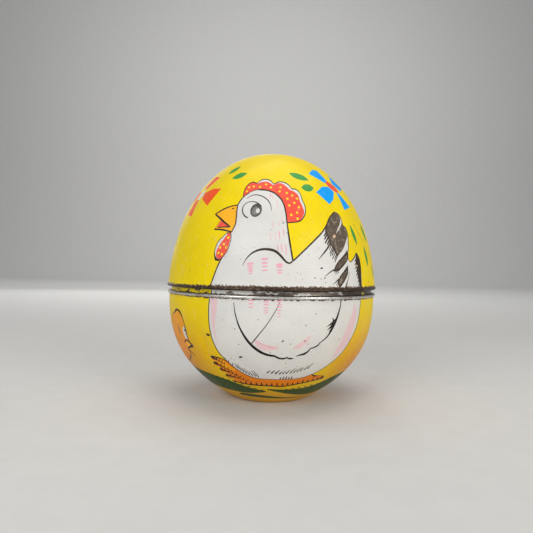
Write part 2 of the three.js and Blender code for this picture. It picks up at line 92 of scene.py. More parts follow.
class Shader:
    """A material whose nodes are added one call at a time."""

    def __init__(self, name):
        self.material = bpy.data.materials.new(name)
        self.material.use_nodes = True
        self.tree = self.material.node_tree
        self.surface = self.tree.nodes["Principled BSDF"]
        self.coords = self.add("ShaderNodeTexCoord").outputs["Object"]
        self.xyz = self.add("ShaderNodeSeparateXYZ", Vector=self.coords).outputs

    def add(self, kind, **inputs):
        node = self.tree.nodes.new(kind)
        for name, value in inputs.items():
            self.feed(node.inputs[name.replace("_", " ")], value)
        return node

    def feed(self, socket, value):
        if isinstance(value, bpy.types.NodeSocket):
            self.tree.links.new(value, socket)
        elif socket.type == "VECTOR":
            socket.default_value = value[:3]
        else:
            socket.default_value = value

    def set(self, **inputs):
        for name, value in inputs.items():
            self.feed(self.surface.inputs[name.replace("_", " ")], value)

    def maths(self, operation, first, second=0.0, third=0.0):
        node = self.add("ShaderNodeMath")
        node.operation = operation
        for socket, value in zip(node.inputs, (first, second, third)):
            self.feed(socket, value)
        return node.outputs[0]

    def noise(self, size, detail=3.0, stretch=None, rough=0.55):
        """Noise whose features are about size millimetres across."""
        where = self.coords
        if stretch:
            where = self.add("ShaderNodeMapping", Vector=where, Scale=stretch)
            where = where.outputs[0]
        node = self.add(
            "ShaderNodeTexNoise",
            Vector=where,
            Scale=1.0 / (size * MM),
            Detail=detail,
            Roughness=rough,
        )
        return node.outputs["Fac"]

    def ramp(self, value, low, high, to_low=0.0, to_high=1.0):
        """value between low and high, spread smoothly over to_low and to_high."""
        node = self.add("ShaderNodeMapRange")
        node.interpolation_type = "SMOOTHSTEP"
        for name, number in (
            ("Value", value),
            ("From Min", low),
            ("From Max", high),
            ("To Min", to_low),
            ("To Max", to_high),
        ):
            self.feed(node.inputs[name], number)
        return node.outputs["Result"]

    def mix(self, share, first, second):
        node = self.add("ShaderNodeMix")
        node.data_type = "RGBA"
        self.feed(node.inputs["Factor"], share)
        self.feed(node.inputs[6], first)
        self.feed(node.inputs[7], second)
        return node.outputs[2]

    def bump(self, height, strength, distance):
        node = self.add(
            "ShaderNodeBump", Strength=strength, Distance=distance * MM, Height=height
        )
        return node.outputs["Normal"]

    def height_mm(self):
        return self.maths("DIVIDE", self.xyz["Z"], MM)

    def across_mm(self):
        return self.maths("ABSOLUTE", self.maths("DIVIDE", self.xyz["X"], MM))


TIN = srgb(205, 202, 196)
DARK_TIN = srgb(66, 52, 42)
# Painted shadow colour for the foot of the lid's rolled rim.
RIM_SHADOW_COLOUR = srgb(30, 22, 18)
RUST = srgb(92, 58, 36)
SCRATCH = srgb(206, 200, 184)


def finish_print(shader, colour, bare, bare_colour, gloss=0.38, bare_metallic=0.9):
    """Litho ink on tinplate: grain, scratches, small chips, and bare metal where bare is 1."""
    grain = shader.ramp(shader.noise(0.25, 2.0), 0.3, 0.7, 0.95, 1.03)
    cloud = shader.ramp(shader.noise(9.0, 4.0), 0.3, 0.7, 0.955, 1.02)
    tint = shader.add("ShaderNodeVectorMath", Vector=colour)
    tint.operation = "SCALE"
    shader.feed(tint.inputs["Scale"], shader.maths("MULTIPLY", grain, cloud))
    clusters = shader.ramp(shader.noise(14.0, 2.0), 0.42, 0.62)
    specks = shader.ramp(shader.noise(0.9, 1.5), 0.705, 0.735)
    chips = shader.maths("MULTIPLY", clusters, specks)
    hairlines = shader.noise(0.45, 2.0, stretch=(1.0, 1.0, 0.05))
    scratched = shader.mix(shader.ramp(hairlines, 0.64, 0.7, 0.0, 0.3), tint.outputs[0], SCRATCH)
    inked = shader.mix(shader.maths("MULTIPLY", chips, 0.75), scratched, RUST)
    shader.set(
        Base_Color=shader.mix(bare, inked, bare_colour),
        Metallic=shader.maths("MULTIPLY", bare, bare_metallic),
    )
    smear = shader.noise(5.0, 5.0, stretch=(1.0, 1.0, 0.35))
    ink_rough = shader.ramp(smear, 0.3, 0.75, gloss - 0.05, gloss + 0.12)
    metal_rough = shader.ramp(shader.noise(0.8, 4.0), 0.3, 0.7, 0.22, 0.5)
    rough = shader.maths(
        "ADD",
        shader.maths("MULTIPLY", ink_rough, shader.maths("SUBTRACT", 1.0, bare)),
        shader.maths("MULTIPLY", metal_rough, bare),
    )
    relief = shader.maths("ADD", shader.noise(12.0, 2.0), shader.maths("MULTIPLY", bare, -0.35))
    relief = shader.maths("SUBTRACT", relief, shader.maths("MULTIPLY", chips, 0.3))
    shader.set(Roughness=rough, Normal=shader.bump(relief, 0.25, 0.25), Specular_IOR_Level=0.2)
    return shader.material


def ink_with_painted_shade(shader, colour, shade, worn=None):
    """The ink's own colour, blended to its shade colour low down, at the foot and round the sides of
    each picture: painted shade where the egg turns from the light, and for the yellow partly the print's
    own orange gradient.

    A worn ink is scuffed with streaks of a paler colour.
    """
    if worn:
        streaks = shader.noise(1.3, 6.0, stretch=(1.0, 1.0, 0.6), rough=0.75)
        colour = shader.mix(shader.ramp(streaks, 0.5, 0.72), colour, worn)
        return colour
    height = shader.height_mm()
    # Painted shade: the ink goes to its shade colour low down, towards the sides and at the foot.
    low = shader.ramp(height, 8.0, 42.0, 1.0, 0.0)
    side = shader.ramp(shader.across_mm(), 10.0, 36.0, 0.15, 1.0)
    foot = shader.ramp(height, 3.0, 16.0, 0.55, 0.0)
    share = shader.maths("MAXIMUM", shader.maths("MULTIPLY", low, side), foot)
    return shader.mix(share, colour, shade)


def lid_ink(name, colour, shade=None, worn=None):
    """Ink on the lid, rubbed down to dark, stained metal along the rolled rim."""
    shader = Shader("lid_" + name)
    ragged = shader.ramp(shader.noise(0.9, 5.0, rough=0.7), 0.3, 0.7, -0.4, 0.4)
    # The rim is rubbed higher towards +X.
    worn_to = shader.ramp(shader.maths("DIVIDE", shader.xyz["X"], MM), -34.0, -8.0, 1.25, 1.7)
    edge = shader.maths("SUBTRACT", shader.maths("ADD", shader.height_mm(), ragged), worn_to)
    bare = shader.ramp(edge, LID_RIM_Z - 0.1, LID_RIM_Z + 0.1, 1.0, 0.0)
    stain = shader.ramp(shader.noise(1.6, 4.0), 0.52, 0.72)
    fringe = shader.ramp(edge, LID_RIM_Z - 0.75, LID_RIM_Z - 0.1)
    metal = shader.mix(shader.maths("MAXIMUM", stain, fringe), DARK_TIN, srgb(112, 94, 78))
    # Painted shadow: the foot of the rolled rim, where it meets the seam, is darkened nearly to black.
    under_rim_shadow = shader.ramp(shader.height_mm(), LID_RIM_Z + 0.05, LID_RIM_Z + 0.35, 1.0, 0.0)
    metal = shader.mix(under_rim_shadow, metal, RIM_SHADOW_COLOUR)
    ink = ink_with_painted_shade(shader, colour, shade or colour, worn)
    return finish_print(shader, ink, bare, metal, bare_metallic=0.45)


def base_ink(name, colour, shade=None, worn=None):
    """Ink on the lower half: a bare bead at the shoulder, and a neck worn by the lid."""
    shader = Shader("base_" + name)
    height = shader.height_mm()
    ragged = shader.ramp(shader.noise(1.1, 5.0, rough=0.7), 0.3, 0.7, -0.35, 0.35)
    edge = shader.maths("ADD", height, ragged)
    bead = shader.ramp(edge, SEAM_Z - 0.9, SEAM_Z - 0.75)
    above = shader.ramp(edge, SEAM_Z + 0.65, SEAM_Z + 0.8)
    # Less of the neck's ink is left towards +X.
    blotches = shader.noise(3.6, 5.0, stretch=(1.0, 1.0, 3.0))
    drift = shader.maths("MULTIPLY", shader.maths("DIVIDE", shader.xyz["X"], MM), -0.0025)
    patches = shader.ramp(shader.maths("ADD", blotches, drift), 0.46, 0.53)
    kept = shader.maths("MULTIPLY", above, patches)
    bare = shader.maths("MULTIPLY", bead, shader.maths("SUBTRACT", 1.0, kept))
    stain = shader.ramp(shader.noise(7.0, 5.0), 0.5, 0.72, 0.0, 0.8)
    metal = shader.mix(stain, TIN, srgb(132, 104, 84))
    fringe = shader.ramp(height, SEAM_Z - 0.62, SEAM_Z - 0.45, 1.0, 0.0)
    # Painted shadow: the groove above the bead is darkened to dark tin; the same mask also darkens the
    # neck's worn bare metal, which is dark of itself.
    groove_shadow_and_dark_neck = shader.ramp(height, SEAM_Z + 0.3, SEAM_Z + 0.45, 0.0, 0.86)
    metal = shader.mix(shader.maths("MAXIMUM", fringe, groove_shadow_and_dark_neck), metal, DARK_TIN)
    ink = ink_with_painted_shade(shader, colour, shade or colour, worn)
    return finish_print(shader, ink, bare, metal)


def toy_ink(name, colour):
    """Ink on the chick, with no worn rim."""
    shader = Shader("toy_" + name)
    return finish_print(shader, colour, 0.0, TIN, gloss=0.27)


def plain_metal(name, colour, rough=0.35, grain=(1.0, 1.0, 6.0), tarnish=RUST, amount=0.25):
    """Bare sheet or turned metal with drawn grain and a little tarnish."""
    shader = Shader(name)
    lines = shader.noise(0.6, 4.0, stretch=grain)
    worn = shader.ramp(shader.noise(2.5, 4.0), 0.5, 0.8, 0.0, amount)
    tone = shader.add("ShaderNodeVectorMath", Vector=colour)
    tone.operation = "SCALE"
    shader.feed(tone.inputs["Scale"], shader.ramp(lines, 0.3, 0.7, 0.85, 1.1))
    shader.set(
        Base_Color=shader.mix(worn, tone.outputs[0], tarnish),
        Metallic=1.0,
        Roughness=shader.ramp(lines, 0.3, 0.7, rough - 0.08, rough + 0.15),
        Normal=shader.bump(lines, 0.2, 0.05),
    )
    return shader.material


# ------------------------------------------------------------------ inks
# Each ink's colour, the shade colour that it is blended to low down and round the sides (painted shade;
# for the yellow partly its printed orange gradient), and its colour where it is worn.
INKS = {
    "yellow": (srgb(236, 208, 0), srgb(204, 104, 0)),
    "white": (srgb(214, 213, 208), srgb(218, 204, 190)),
    "black": (srgb(26, 22, 20), None),
    "brown": (srgb(58, 46, 38), None),
    "tail": (srgb(92, 80, 68), None, srgb(176, 164, 146)),
    "red": (srgb(234, 84, 66), None),
    "beak": (srgb(246, 176, 34), None),
    "vermilion": (srgb(240, 86, 34), None),
    "orange": (srgb(232, 130, 0), srgb(214, 98, 0)),
    "amber": (srgb(242, 164, 0), srgb(222, 126, 0)),
    "pink": (srgb(228, 164, 180), None),
    "blush": (srgb(224, 192, 194), None),
    "green": (srgb(62, 150, 68), None),
    "grass": (srgb(44, 72, 14), None),
    "blue": (srgb(0, 158, 246), None),
    "grey": (srgb(88, 88, 86), None),
    "pale_grey": (srgb(122, 122, 119), None),
    "dot": (srgb(246, 214, 40), None),
    "rust": (srgb(208, 176, 144), None),
}
INK_NAMES = list(INKS)
lid_inks = [lid_ink(name, *INKS[name]) for name in INK_NAMES]
base_inks = [base_ink(name, *INKS[name]) for name in INK_NAMES]
inside_tin = plain_metal("inside_tin", srgb(176, 166, 140), 0.32, (1.0, 1.0, 3.0))


# ------------------------------------------------------------------ curves and outlines
def smooth(points, closed=False, step=0.7):
    """A centripetal Catmull-Rom curve through 2-D points, with points about step apart."""
    points = [np.array(p, float) for p in points]
    if len(points) < 3 and not closed:
        return straight(points, step)
    count = len(points)
    if closed:
        controls = [points[-1]] + points + points[:2]
    else:
        controls = [2 * points[0] - points[1]] + points + [2 * points[-1] - points[-2]]
    result = []
    for i in range(count if closed else count - 1):
        p0, p1, p2, p3 = controls[i : i + 4]
        gaps = [max(np.linalg.norm(b - a), 1e-6) ** 0.5 for a, b in ((p0, p1), (p1, p2), (p2, p3))]
        t1, t2, t3 = gaps[0], gaps[0] + gaps[1], sum(gaps)
        pieces = max(2, int(np.linalg.norm(p2 - p1) / step))
        for k in range(pieces):
            t = t1 + (t2 - t1) * k / pieces
            a1 = ((t1 - t) * p0 + t * p1) / t1
            a2 = ((t2 - t) * p1 + (t - t1) * p2) / (t2 - t1)
            a3 = ((t3 - t) * p2 + (t - t2) * p3) / (t3 - t2)
            b1 = ((t2 - t) * a1 + t * a2) / t2
            b2 = ((t3 - t) * a2 + (t - t1) * a3) / (t3 - t1)
            result.append(((t2 - t) * b1 + (t - t1) * b2) / (t2 - t1))
    if not closed:
        result.append(points[-1])
    return result


def straight(points, step):
    """A polyline with points about step apart."""
    result = []
    for a, b in zip(points, points[1:]):
        pieces = max(1, int(np.linalg.norm(np.subtract(b, a)) / step))
        result += [np.array(a) + (np.array(b) - a) * k / pieces for k in range(pieces)]
    return result + [np.array(points[-1], float)]


def closed_outline(points, corners=None):
    """A closed curve through points that is smooth except at the corners, given by index."""
    if corners is None:
        return smooth(points, closed=True)
    if corners == "all":
        corners = range(len(points))
    corners = sorted(corners)
    result = []
    for here, there in zip(corners, corners[1:] + corners[:1]):
        stop = there if there > here else there + len(points)
        run = [points[i % len(points)] for i in range(here, stop + 1)]
        result += smooth(run)[:-1]
    return result


def inside(polygon, points):
    """Which of the 2-D points lie inside the polygon, by the even-odd rule."""
    result = np.zeros(len(points), bool)
    low, high = polygon.min(0), polygon.max(0)
    near = np.where(((points >= low) & (points <= high)).all(1))[0]
    if not len(near):
        return result
    x, y = points[near, 0][:, None], points[near, 1][:, None]
    ax, ay = polygon[:, 0], polygon[:, 1]
    bx, by = np.roll(ax, -1), np.roll(ay, -1)
    crosses = (ay > y) != (by > y)
    reach = (bx - ax) * (y - ay) / np.where(by == ay, 1e-12, by - ay) + ax
    result[near] = (crosses & (x < reach)).sum(1) % 2 == 1
    return result


# ------------------------------------------------------------------ printing on a surface
class Print:
    """Pictures laid over a surface that is flattened to 2-D; later shapes cover earlier ones."""

    def __init__(self, flatten, stretch):
        self.flatten = flatten  # print point to flat point
        self.stretch = stretch  # flat point to the true length of one unit across
        self.shapes = []

    def fill(self, ink, points, corners=None):
        flat = [self.flatten(p) for p in points]
        self.shapes.append((ink, np.array(closed_outline(flat, corners))))

    def line(self, ink, points, widths=(0.15, 0.45, 0.15)):
        """A brush line whose width runs from widths[0] at its start to widths[-1] at its end."""
        path = np.array(smooth([self.flatten(p) for p in points]))
        scale = np.array([self.stretch(p) for p in path])
        along = np.gradient(path, axis=0)
        true = np.stack([along[:, 0] * scale, along[:, 1]], 1)
        true /= np.maximum(np.linalg.norm(true, axis=1), 1e-9)[:, None]
        share = np.linspace(0, 1, len(path))
        half = np.interp(share, np.linspace(0, 1, len(widths)), widths) * LINE_WEIGHT / 2
        offset = np.stack([-true[:, 1] * half / scale, true[:, 0] * half], 1)
        self.shapes.append((ink, np.concatenate([path + offset, (path - offset)[::-1]])))

    def blob(self, ink, centre, across, up=None, turn=0.0, sides=12):
        """An ellipse of half-sizes across and up, in millimetres, turned anticlockwise."""
        flat = np.array(self.flatten(centre))
        scale = self.stretch(flat)
        angles = np.arange(sides) * 2 * math.pi / sides
        x, y = across * np.cos(angles), (up or across) * np.sin(angles)
        c, s = math.cos(math.radians(turn)), math.sin(math.radians(turn))
        ring = np.stack([(c * x - s * y) / scale, s * x + c * y], 1)
        self.shapes.append((ink, flat + ring))

    def local(self, ink, centre, points, turn=0.0, corners="all"):
        """A shape given in millimetres around a centre."""
        flat = np.array(self.flatten(centre))
        scale = self.stretch(flat)
        c, s = math.cos(math.radians(turn)), math.sin(math.radians(turn))
        placed = [flat + ((c * x - s * y) / scale, s * x + c * y) for x, y in points]
        self.shapes.append((ink, np.array(closed_outline(placed, corners))))

    def dashes(self, ink, path, count, length, direction, width=0.25, taper=0.1):
        """Short strokes that start along a path and all point one way, in degrees."""
        flat = np.array(smooth([self.flatten(p) for p in path], step=0.2))
        step = (math.cos(math.radians(direction)), math.sin(math.radians(direction)))
        for i in range(count):
            start = flat[round(i * (len(flat) - 1) / max(count - 1, 1))]
            reach = length * (0.8 + 0.4 * ((i * 7) % 5) / 4)
            end = start + (reach * step[0] / self.stretch(start), reach * step[1])
            side = np.array((-step[1] / self.stretch(start), step[0])) * LINE_WEIGHT / 2
            wide, thin = side * width, side * taper
            corners = [start + wide, start - wide, end - thin, end + thin]
            self.shapes.append((ink, np.array(corners)))

    def mesh(self, grid, keep, ground):
        """Triangles over the grid and every outline: flat points, faces and each face's ink."""
        points, edges = [], []
        for loop in grid:
            points += [tuple(p) for p in loop["points"]]
            first = len(points) - len(loop["points"])
            if loop["chain"]:
                edges += [(first + i, first + i + 1) for i in range(len(loop["points"]) - 1)]
        for _, outline in self.shapes:
            first, count = len(points), len(outline)
            points += [tuple(p) for p in outline]
            edges += [(first + i, first + (i + 1) % count) for i in range(count)]
        made = delaunay_2d_cdt([Vector(p) for p in points], edges, [], 0, 1e-4, False)
        flat = np.array([tuple(v) for v in made[0]])
        faces = np.array([f for f in made[2] if len(f) == 3])
        centres = flat[faces].mean(1)
        kept = keep(centres)
        faces, centres = faces[kept], centres[kept]
        inks = np.full(len(faces), INK_NAMES.index(ground))
        for ink, outline in self.shapes:
            inks[inside(outline, centres)] = INK_NAMES.index(ink)
        used, compact = np.unique(faces, return_inverse=True)
        return flat[used], compact.reshape(faces.shape), inks


def make_object(name, points, faces, materials, slots, normals=None):
    """A mesh object from points in millimetres."""
    mesh = bpy.data.meshes.new(name)
    mesh.from_pydata([tuple(p) for p in np.array(points) * MM], [], [tuple(f) for f in faces])
    for material in materials:
        mesh.materials.append(material)
    mesh.polygons.foreach_set("material_index", np.array(slots, np.int32))
    mesh.polygons.foreach_set("use_smooth", np.ones(len(mesh.polygons), bool))
    mesh.validate(clean_customdata=False)
    if normals is not None:
        mesh.normals_split_custom_set_from_vertices([tuple(n) for n in normals])
    mesh.update()
    made = bpy.data.objects.new(name, mesh)
    bpy.context.scene.collection.objects.link(made)
    return made


# ------------------------------------------------------------------ the egg's outlines
def base_radius(z):
    """Outside radius of the lower half at a height: a flattened superellipse."""
    fall, side = BASE_CURVE
    return BASE_R * (1 - ((SEAM_Z - z) / BASE_DEPTH) ** fall) ** (1 / side)


def lid_radius(z):
    rise, side = LID_CURVE
    return LID_R * max(0.0, 1 - ((z - SEAM_Z) / LID_HEIGHT) ** rise) ** (1 / side)


def arc(r, z, radius, start, stop, steps):
    """Points round part of a circle centred at (r, z), between two angles in degrees."""
    angles = [math.radians(start + (stop - start) * i / steps) for i in range(steps + 1)]
    return [(r + radius * math.cos(a), z + radius * math.sin(a)) for a in angles]


def base_outline():
    """[radius, height] up the printed outside of the lower half, from its foot to its neck."""
    foot_r = base_radius(0.0)
    wall = [(base_radius(z), z) for z in np.linspace(0.5, SEAM_Z - 0.75, 24)]
    bead = arc(BASE_R + 0.05, SEAM_Z, 0.55, -62, 76, 7)
    neck = arc(NECK_R + 0.25, SEAM_Z + 0.8, 0.25, 250, 180, 3)
    return (
        [(foot_r - 0.5, 0.0), (foot_r - 0.1, 0.06), (foot_r + 0.25, 0.2)]
        + wall
        + bead
        + neck
        + [(NECK_R, z) for z in np.linspace(SEAM_Z + 1.3, NECK_TOP - 0.35, 5)]
        + arc(NECK_R - 0.35, NECK_TOP - 0.35, 0.35, 25, 90, 3)
    )


def lid_outline():
    """[radius, height] up the printed outside of the lid, from its rolled rim to near its top."""
    rim = arc(LID_R - 0.12, LID_RIM_Z + 0.58, 0.56, -88, 58, 8)
    wall_z = SEAM_Z + LID_HEIGHT * np.sin(np.linspace(0.085, 1.556, 36))
    return rim + [(lid_radius(z), z) for z in wall_z]


# Dents in the tin: azimuth, height, depth, spread across, spread up.
BASE_DENTS = (
    (-37.0, 23.0, 0.9, 1.9, 5.0),
    (-45.0, 17.0, 0.25, 3.0, 4.0),
    (118.0, 22.0, 0.3, 4.0, 3.0),
)
LID_DENTS = (
    (150.0, 70.0, 0.25, 4.0, 4.0),
    (-75.0, 58.0, 0.12, 5.0, 5.0),
)


class EggHalf:
    """One half of the egg: its outline, unrolled for printing and rolled up again."""

    def __init__(self, outline, dents):
        self.outline = np.array(outline)
        steps = np.linalg.norm(np.diff(self.outline, axis=0), axis=1)
        self.along = np.concatenate([[0], np.cumsum(steps)])
        self.dents = dents
        self.left = math.radians(CUT_AZIMUTH) * UNROLL_R
        self.right = self.left + 2 * math.pi * UNROLL_R
        self.turn = 0.0

    def flatten(self, point):
        azimuth, z = point
        along = np.interp(z, np.maximum.accumulate(self.outline[:, 1]), self.along)
        return np.array((math.radians(azimuth + self.turn) * UNROLL_R, along))

    def stretch(self, flat):
        return max(np.interp(flat[1], self.along, self.outline[:, 0]), 1.0) / UNROLL_R

    def placed(self, angle, r, z):
        """Points of the half at those angles, radii and heights, pushed in by the dents."""
        push = np.zeros(len(angle))
        for azimuth, height, depth, spread, rise in self.dents:
            across = (angle - math.radians(azimuth)) * r
            push += depth * np.exp(-((across / spread) ** 2) - ((z - height) / rise) ** 2)
        r = np.maximum(r - push, 0.0)
        return np.stack([r * np.sin(angle), -r * np.cos(angle), z + 0.0 * angle], 1)

    def rolled(self, flat):
        r = np.interp(flat[:, 1], self.along, self.outline[:, 0])
        z = np.interp(flat[:, 1], self.along, self.outline[:, 1])
        return self.placed(flat[:, 0] / UNROLL_R, r, z)

    def normals(self, flat):
        small = 0.08
        side = self.rolled(flat + (small, 0)) - self.rolled(flat - (small, 0))
        up = self.rolled(flat + (0, small)) - self.rolled(flat - (0, small))
        made = np.cross(side, up)
        return made / np.maximum(np.linalg.norm(made, axis=1), 1e-9)[:, None]

    def grid(self):
        """Rows and columns of flat points, closed in by chained edges."""
        columns = np.linspace(self.left, self.right, round(360 / COLUMN_STEP) + 1)
        ends = (self.along[0], self.along[-1])
        loops = [
            {"points": [(x, s) for x in columns], "chain": s in ends} for s in self.along
        ]
        for x in (self.left, self.right):
            loops.append({"points": [(x, s) for s in self.along], "chain": True})
        return loops

    def rings(self, edge, angles, path, sense, points, normals):
        """Faces of a surface of revolution that goes on from the skin's edge along the path.

        The sense is 1 where the path carries on the outline and -1 where it runs against it.
        """
        faces, last = [], list(edge)
        for i in range(1, len(path)):
            (r0, z0), (r, z), (r1, z1) = path[i - 1], path[i], path[min(i + 1, len(path) - 1)]
            nr, nz = (z1 - z0, r0 - r1) if i < len(path) - 1 else (z - z0, r0 - r)
            size = math.hypot(nr, nz) * sense
            here = angles[:1] if r < 1e-6 else angles
            first = len(points)
            points.extend(self.placed(here, r, z))
            for angle in here:
                radial = 0.0 if r < 1e-6 else nr / size
                normals.append((radial * math.sin(angle), -radial * math.cos(angle), nz / size))
            ring = [first + k % len(here) for k in range(len(angles))]
            for k in range(len(last)):
                j = (k + 1) % len(last)
                corners = (last[k], last[j], ring[j], ring[k])
                corners = corners[:3] if len(here) == 1 else corners
                faces.append(corners[::sense])
            last = ring
        return faces

    def build(self, name, artwork, inks, below, above, above_ink):
        """The printed skin, closed by rings that carry on below it and above it to the axis."""
        low, high = self.along[0], self.along[-1]

        def keep(centres):
            x, s = centres[:, 0], centres[:, 1]
            return (x > self.left) & (x < self.right) & (s > low) & (s < high)

        flat, skin, slots = artwork.mesh(self.grid(), keep, "yellow")
        # The cut's two edges become one.
        left_edge = np.where(abs(flat[:, 0] - self.left) < TOUCHING)[0]
        right_edge = np.where(abs(flat[:, 0] - self.right) < TOUCHING)[0]
        left_edge = left_edge[np.argsort(flat[left_edge, 1])]
        right_edge = right_edge[np.argsort(flat[right_edge, 1])]
        joined = np.arange(len(flat))
        joined[right_edge] = left_edge
        faces = [tuple(f) for f in joined[skin]]
        slots = list(slots)
        points, normals = list(self.rolled(flat)), [tuple(n) for n in self.normals(flat)]
        for path, level, sense, slot in (
            (below, low, -1, len(inks)),
            (above, high, 1, above_ink),
        ):
            edge = np.where(abs(flat[:, 1] - level) < TOUCHING)[0]
            edge = edge[flat[edge, 0] < self.right - TOUCHING]
            edge = edge[np.argsort(flat[edge, 0])]
            start = self.outline[0 if sense < 0 else -1]
            path = [start] + list(path)
            made = self.rings(edge, flat[edge, 0] / UNROLL_R, path, sense, points, normals)
            faces += made
            slots += [slot] * len(made)
        return make_object(name, points, faces, inks + [inside_tin], slots, normals)


# ------------------------------------------------------------------ pictures on the egg
DOT_SIZE = (0.42, 0.46)  # half across and half up, on the comb and wattle


def leaf(art, start, end, width):
    """A pointed leaf between two print points, widest at its middle."""
    a, b = np.array(start, float), np.array(end, float)
    flat_a, flat_b = art.flatten(a), art.flatten(b)
    middle = (a + b) / 2
    scale = art.stretch(art.flatten(middle))
    run = (flat_b - flat_a) * (scale, 1)
    half = np.linalg.norm(run) / 2
    outline = [(-half, 0), (-half * 0.35, width / 2), (half * 0.45, width / 2)]
    outline += [(half, 0), (half * 0.35, -width / 2), (-half * 0.45, -width / 2)]
    turn = math.degrees(math.atan2(run[1], run[0]))
    art.local("green", middle, outline, turn, corners=(0, 3))


def chip(art, azimuth, z, across, turn):
    """A spot where the ink has flaked down to dark metal."""
    art.blob("brown", (azimuth, z), across, across * 0.5, turn, sides=7)


def shrunk(points, middle, share):
    """The points drawn in towards the middle by a share, or by one share across and one up."""
    middle = np.array(middle)
    return [middle + (np.array(p) - middle) * share for p in points]


def picture_on_lid(art):
    """The hen's head, neck and tail, with flowers and leaves around the top."""
    neck = [(-31.2, 42.0), (-28.3, 48.2), (-25.9, 52.4), (-23.3, 55.3), (-22.1, 58.5)]
    neck += [(-21.7, 61.8), (-20.4, 64.5), (-20.8, 68), (-21.3, 71), (-18.8, 74), (-15.5, 75.6)]
    crown = [(-10, 76.6), (-3.5, 76.2), (1.3, 74.9), (5, 72.2), (6.5, 68.5), (6.9, 65), (7.8, 59.5)]
    tail = [(9.3, 52.4), (16.2, 56.7), (21.8, 60), (26.6, 62.8), (29.5, 65), (32.9, 67.8)]
    tail += [(37.8, 70), (41, 69.2), (41.8, 67), (41.6, 65.4), (43.6, 64.6), (44.1, 62.3)]
    tail += [(42.5, 58), (41, 53.5), (42.6, 52.6), (45.4, 53.9), (48.8, 56), (50.4, 53.8)]
    tail += [(51.3, 50), (50.9, 42.0)]
    art.fill("white", neck + crown + tail, corners=(0, 18, 26, 28, 31, 34, 37))
    # Tail feathers.
    tips = [(27.7, 62.8), (29.5, 65), (32.9, 67.8), (37.8, 70), (41, 69.2), (41.8, 67)]
    tips += [(41.6, 65.4), (43.5, 64.4), (43.4, 62.2), (41.5, 60.3), (39.4, 58.4), (36.4, 56.2)]
    tips += [(33.5, 54.3), (30.4, 58.3), (29.2, 60)]
    art.fill("brown", tips, corners=(0, 6, 12))
    worn = [(x + 0.2, z - 0.15) for x, z in tips[1:12]]
    worn += [(33.9, 55.2), (30.9, 58.7), (29.7, 60.4), (28.7, 62.6)]
    art.fill("tail", worn, corners=(5, 11, 14))
    art.dashes("brown", [(28.3, 62.3), (30, 58.9)], 5, 2.1, 232, 0.5, 0.35)
    art.dashes("brown", [(30.6, 58.2), (33.6, 54.6)], 7, 2.7, 236, 0.36, 0.2)
    art.line("white", [(41.6, 68), (41, 66.6), (38.3, 64.5), (35.2, 62.5)], (0.35, 0.5, 0.35, 0.15))
    third = [(41.2, 56.8), (40.6, 53.6), (37.5, 51.5), (33.7, 49.5), (31.6, 49.3), (31.1, 50.7)]
    third += [(33.8, 52.8), (37.5, 54.7)]
    art.fill("brown", third, corners=(0, 3, 5))
    worn = [(40.4, 55.2), (39.8, 53.6), (37.2, 52), (33.7, 50.1), (32.2, 50.7), (34.2, 52.4)]
    art.fill("tail", worn + [(37.4, 54)], corners=(0, 3, 4))
    art.line("brown", [(32, 50.3), (28.7, 49.2), (25.2, 47.6)], (0.4, 0.28, 0.12))
    art.dashes("brown", [(31.2, 49.9), (33.4, 49.2)], 4, 1.2, 232, 0.25)
    fourth = [(40.1, 51.6), (39.9, 49), (37.4, 46.3), (34.1, 43.9), (32.3, 45.7), (34.3, 47.8)]
    fourth += [(37.1, 49.6)]
    art.fill("brown", fourth, corners=(0, 3, 4))
    worn = [(39.2, 49.9), (38.9, 48.8), (36.8, 46.6), (34.4, 44.8), (33, 45.8), (34.7, 47.4)]
    art.fill("tail", worn + [(37.1, 49)], corners=(0, 3, 4))
    art.line("brown", [(33.4, 46.8), (31.6, 45.9), (29.8, 45)], (0.4, 0.25, 0.12))
    art.dashes("brown", [(32.4, 45.4), (34.2, 44.1)], 4, 1.1, 232, 0.28)
    art.line("brown", [(40.8, 49.2), (39.6, 46.6), (37.4, 43.6), (36.9, 42)], (0.12, 0.18, 0.5, 0.6))
    last = [(49, 56.2), (51, 54.2), (51.5, 51.2), (51.1, 47.5), (50.9, 42), (48.9, 44.6)]
    last += [(47.3, 48.4), (46.9, 51), (46.9, 53.6)]
    art.fill("brown", last, corners=(0, 4))
    art.dashes("brown", [(46.9, 53.4), (47, 50), (49.2, 44)], 9, 1.2, 222, 0.4)
    art.line("brown", [(30.4, 58.7), (26.6, 56.1), (22.3, 53.2)], (0.35, 0.45, 0.12))
    art.blob("rust", (33.3, 61.2), 0.85, 0.55, 40, sides=7)
    art.blob("rust", (47.7, 51.4), 0.35, 0.5, 0, sides=7)
    art.line("rust", [(37.6, 66.8), (36.6, 66.2), (35.4, 66.4)], (0.08, 0.15, 0.05))
    for azimuth, z, across in (
        (23.7, 50.3, 0.55), (19.9, 47.1, 0.35), (25.3, 47.1, 0.4), (23.2, 46.8, 0.25),
        (25.6, 45.6, 0.25), (31.2, 49.6, 0.6), (-50, 73, 0.2), (-43.6, 55.6, 0.25),
    ):
        chip(art, azimuth, z, across, turn=10)
    # Outline.
    art.line("brown", neck[:5], (0.35, 0.4, 0.35))
    art.line("brown", neck[5:], (0.3, 0.4, 0.3))
    art.line("brown", crown[:6], (0.3, 0.35, 0.4))
    art.line("brown", crown[5:] + tail[:1], (0.3, 0.5, 0.4))
    art.line("brown", tail[:7], (0.4, 0.45, 0.3))
    art.line("brown", tail[6:12], (0.2, 0.25, 0.3))
    art.line("brown", tail[11:15], (0.3, 0.25, 0.2))
    art.line("brown", tail[14:17], (0.2, 0.4, 0.3))
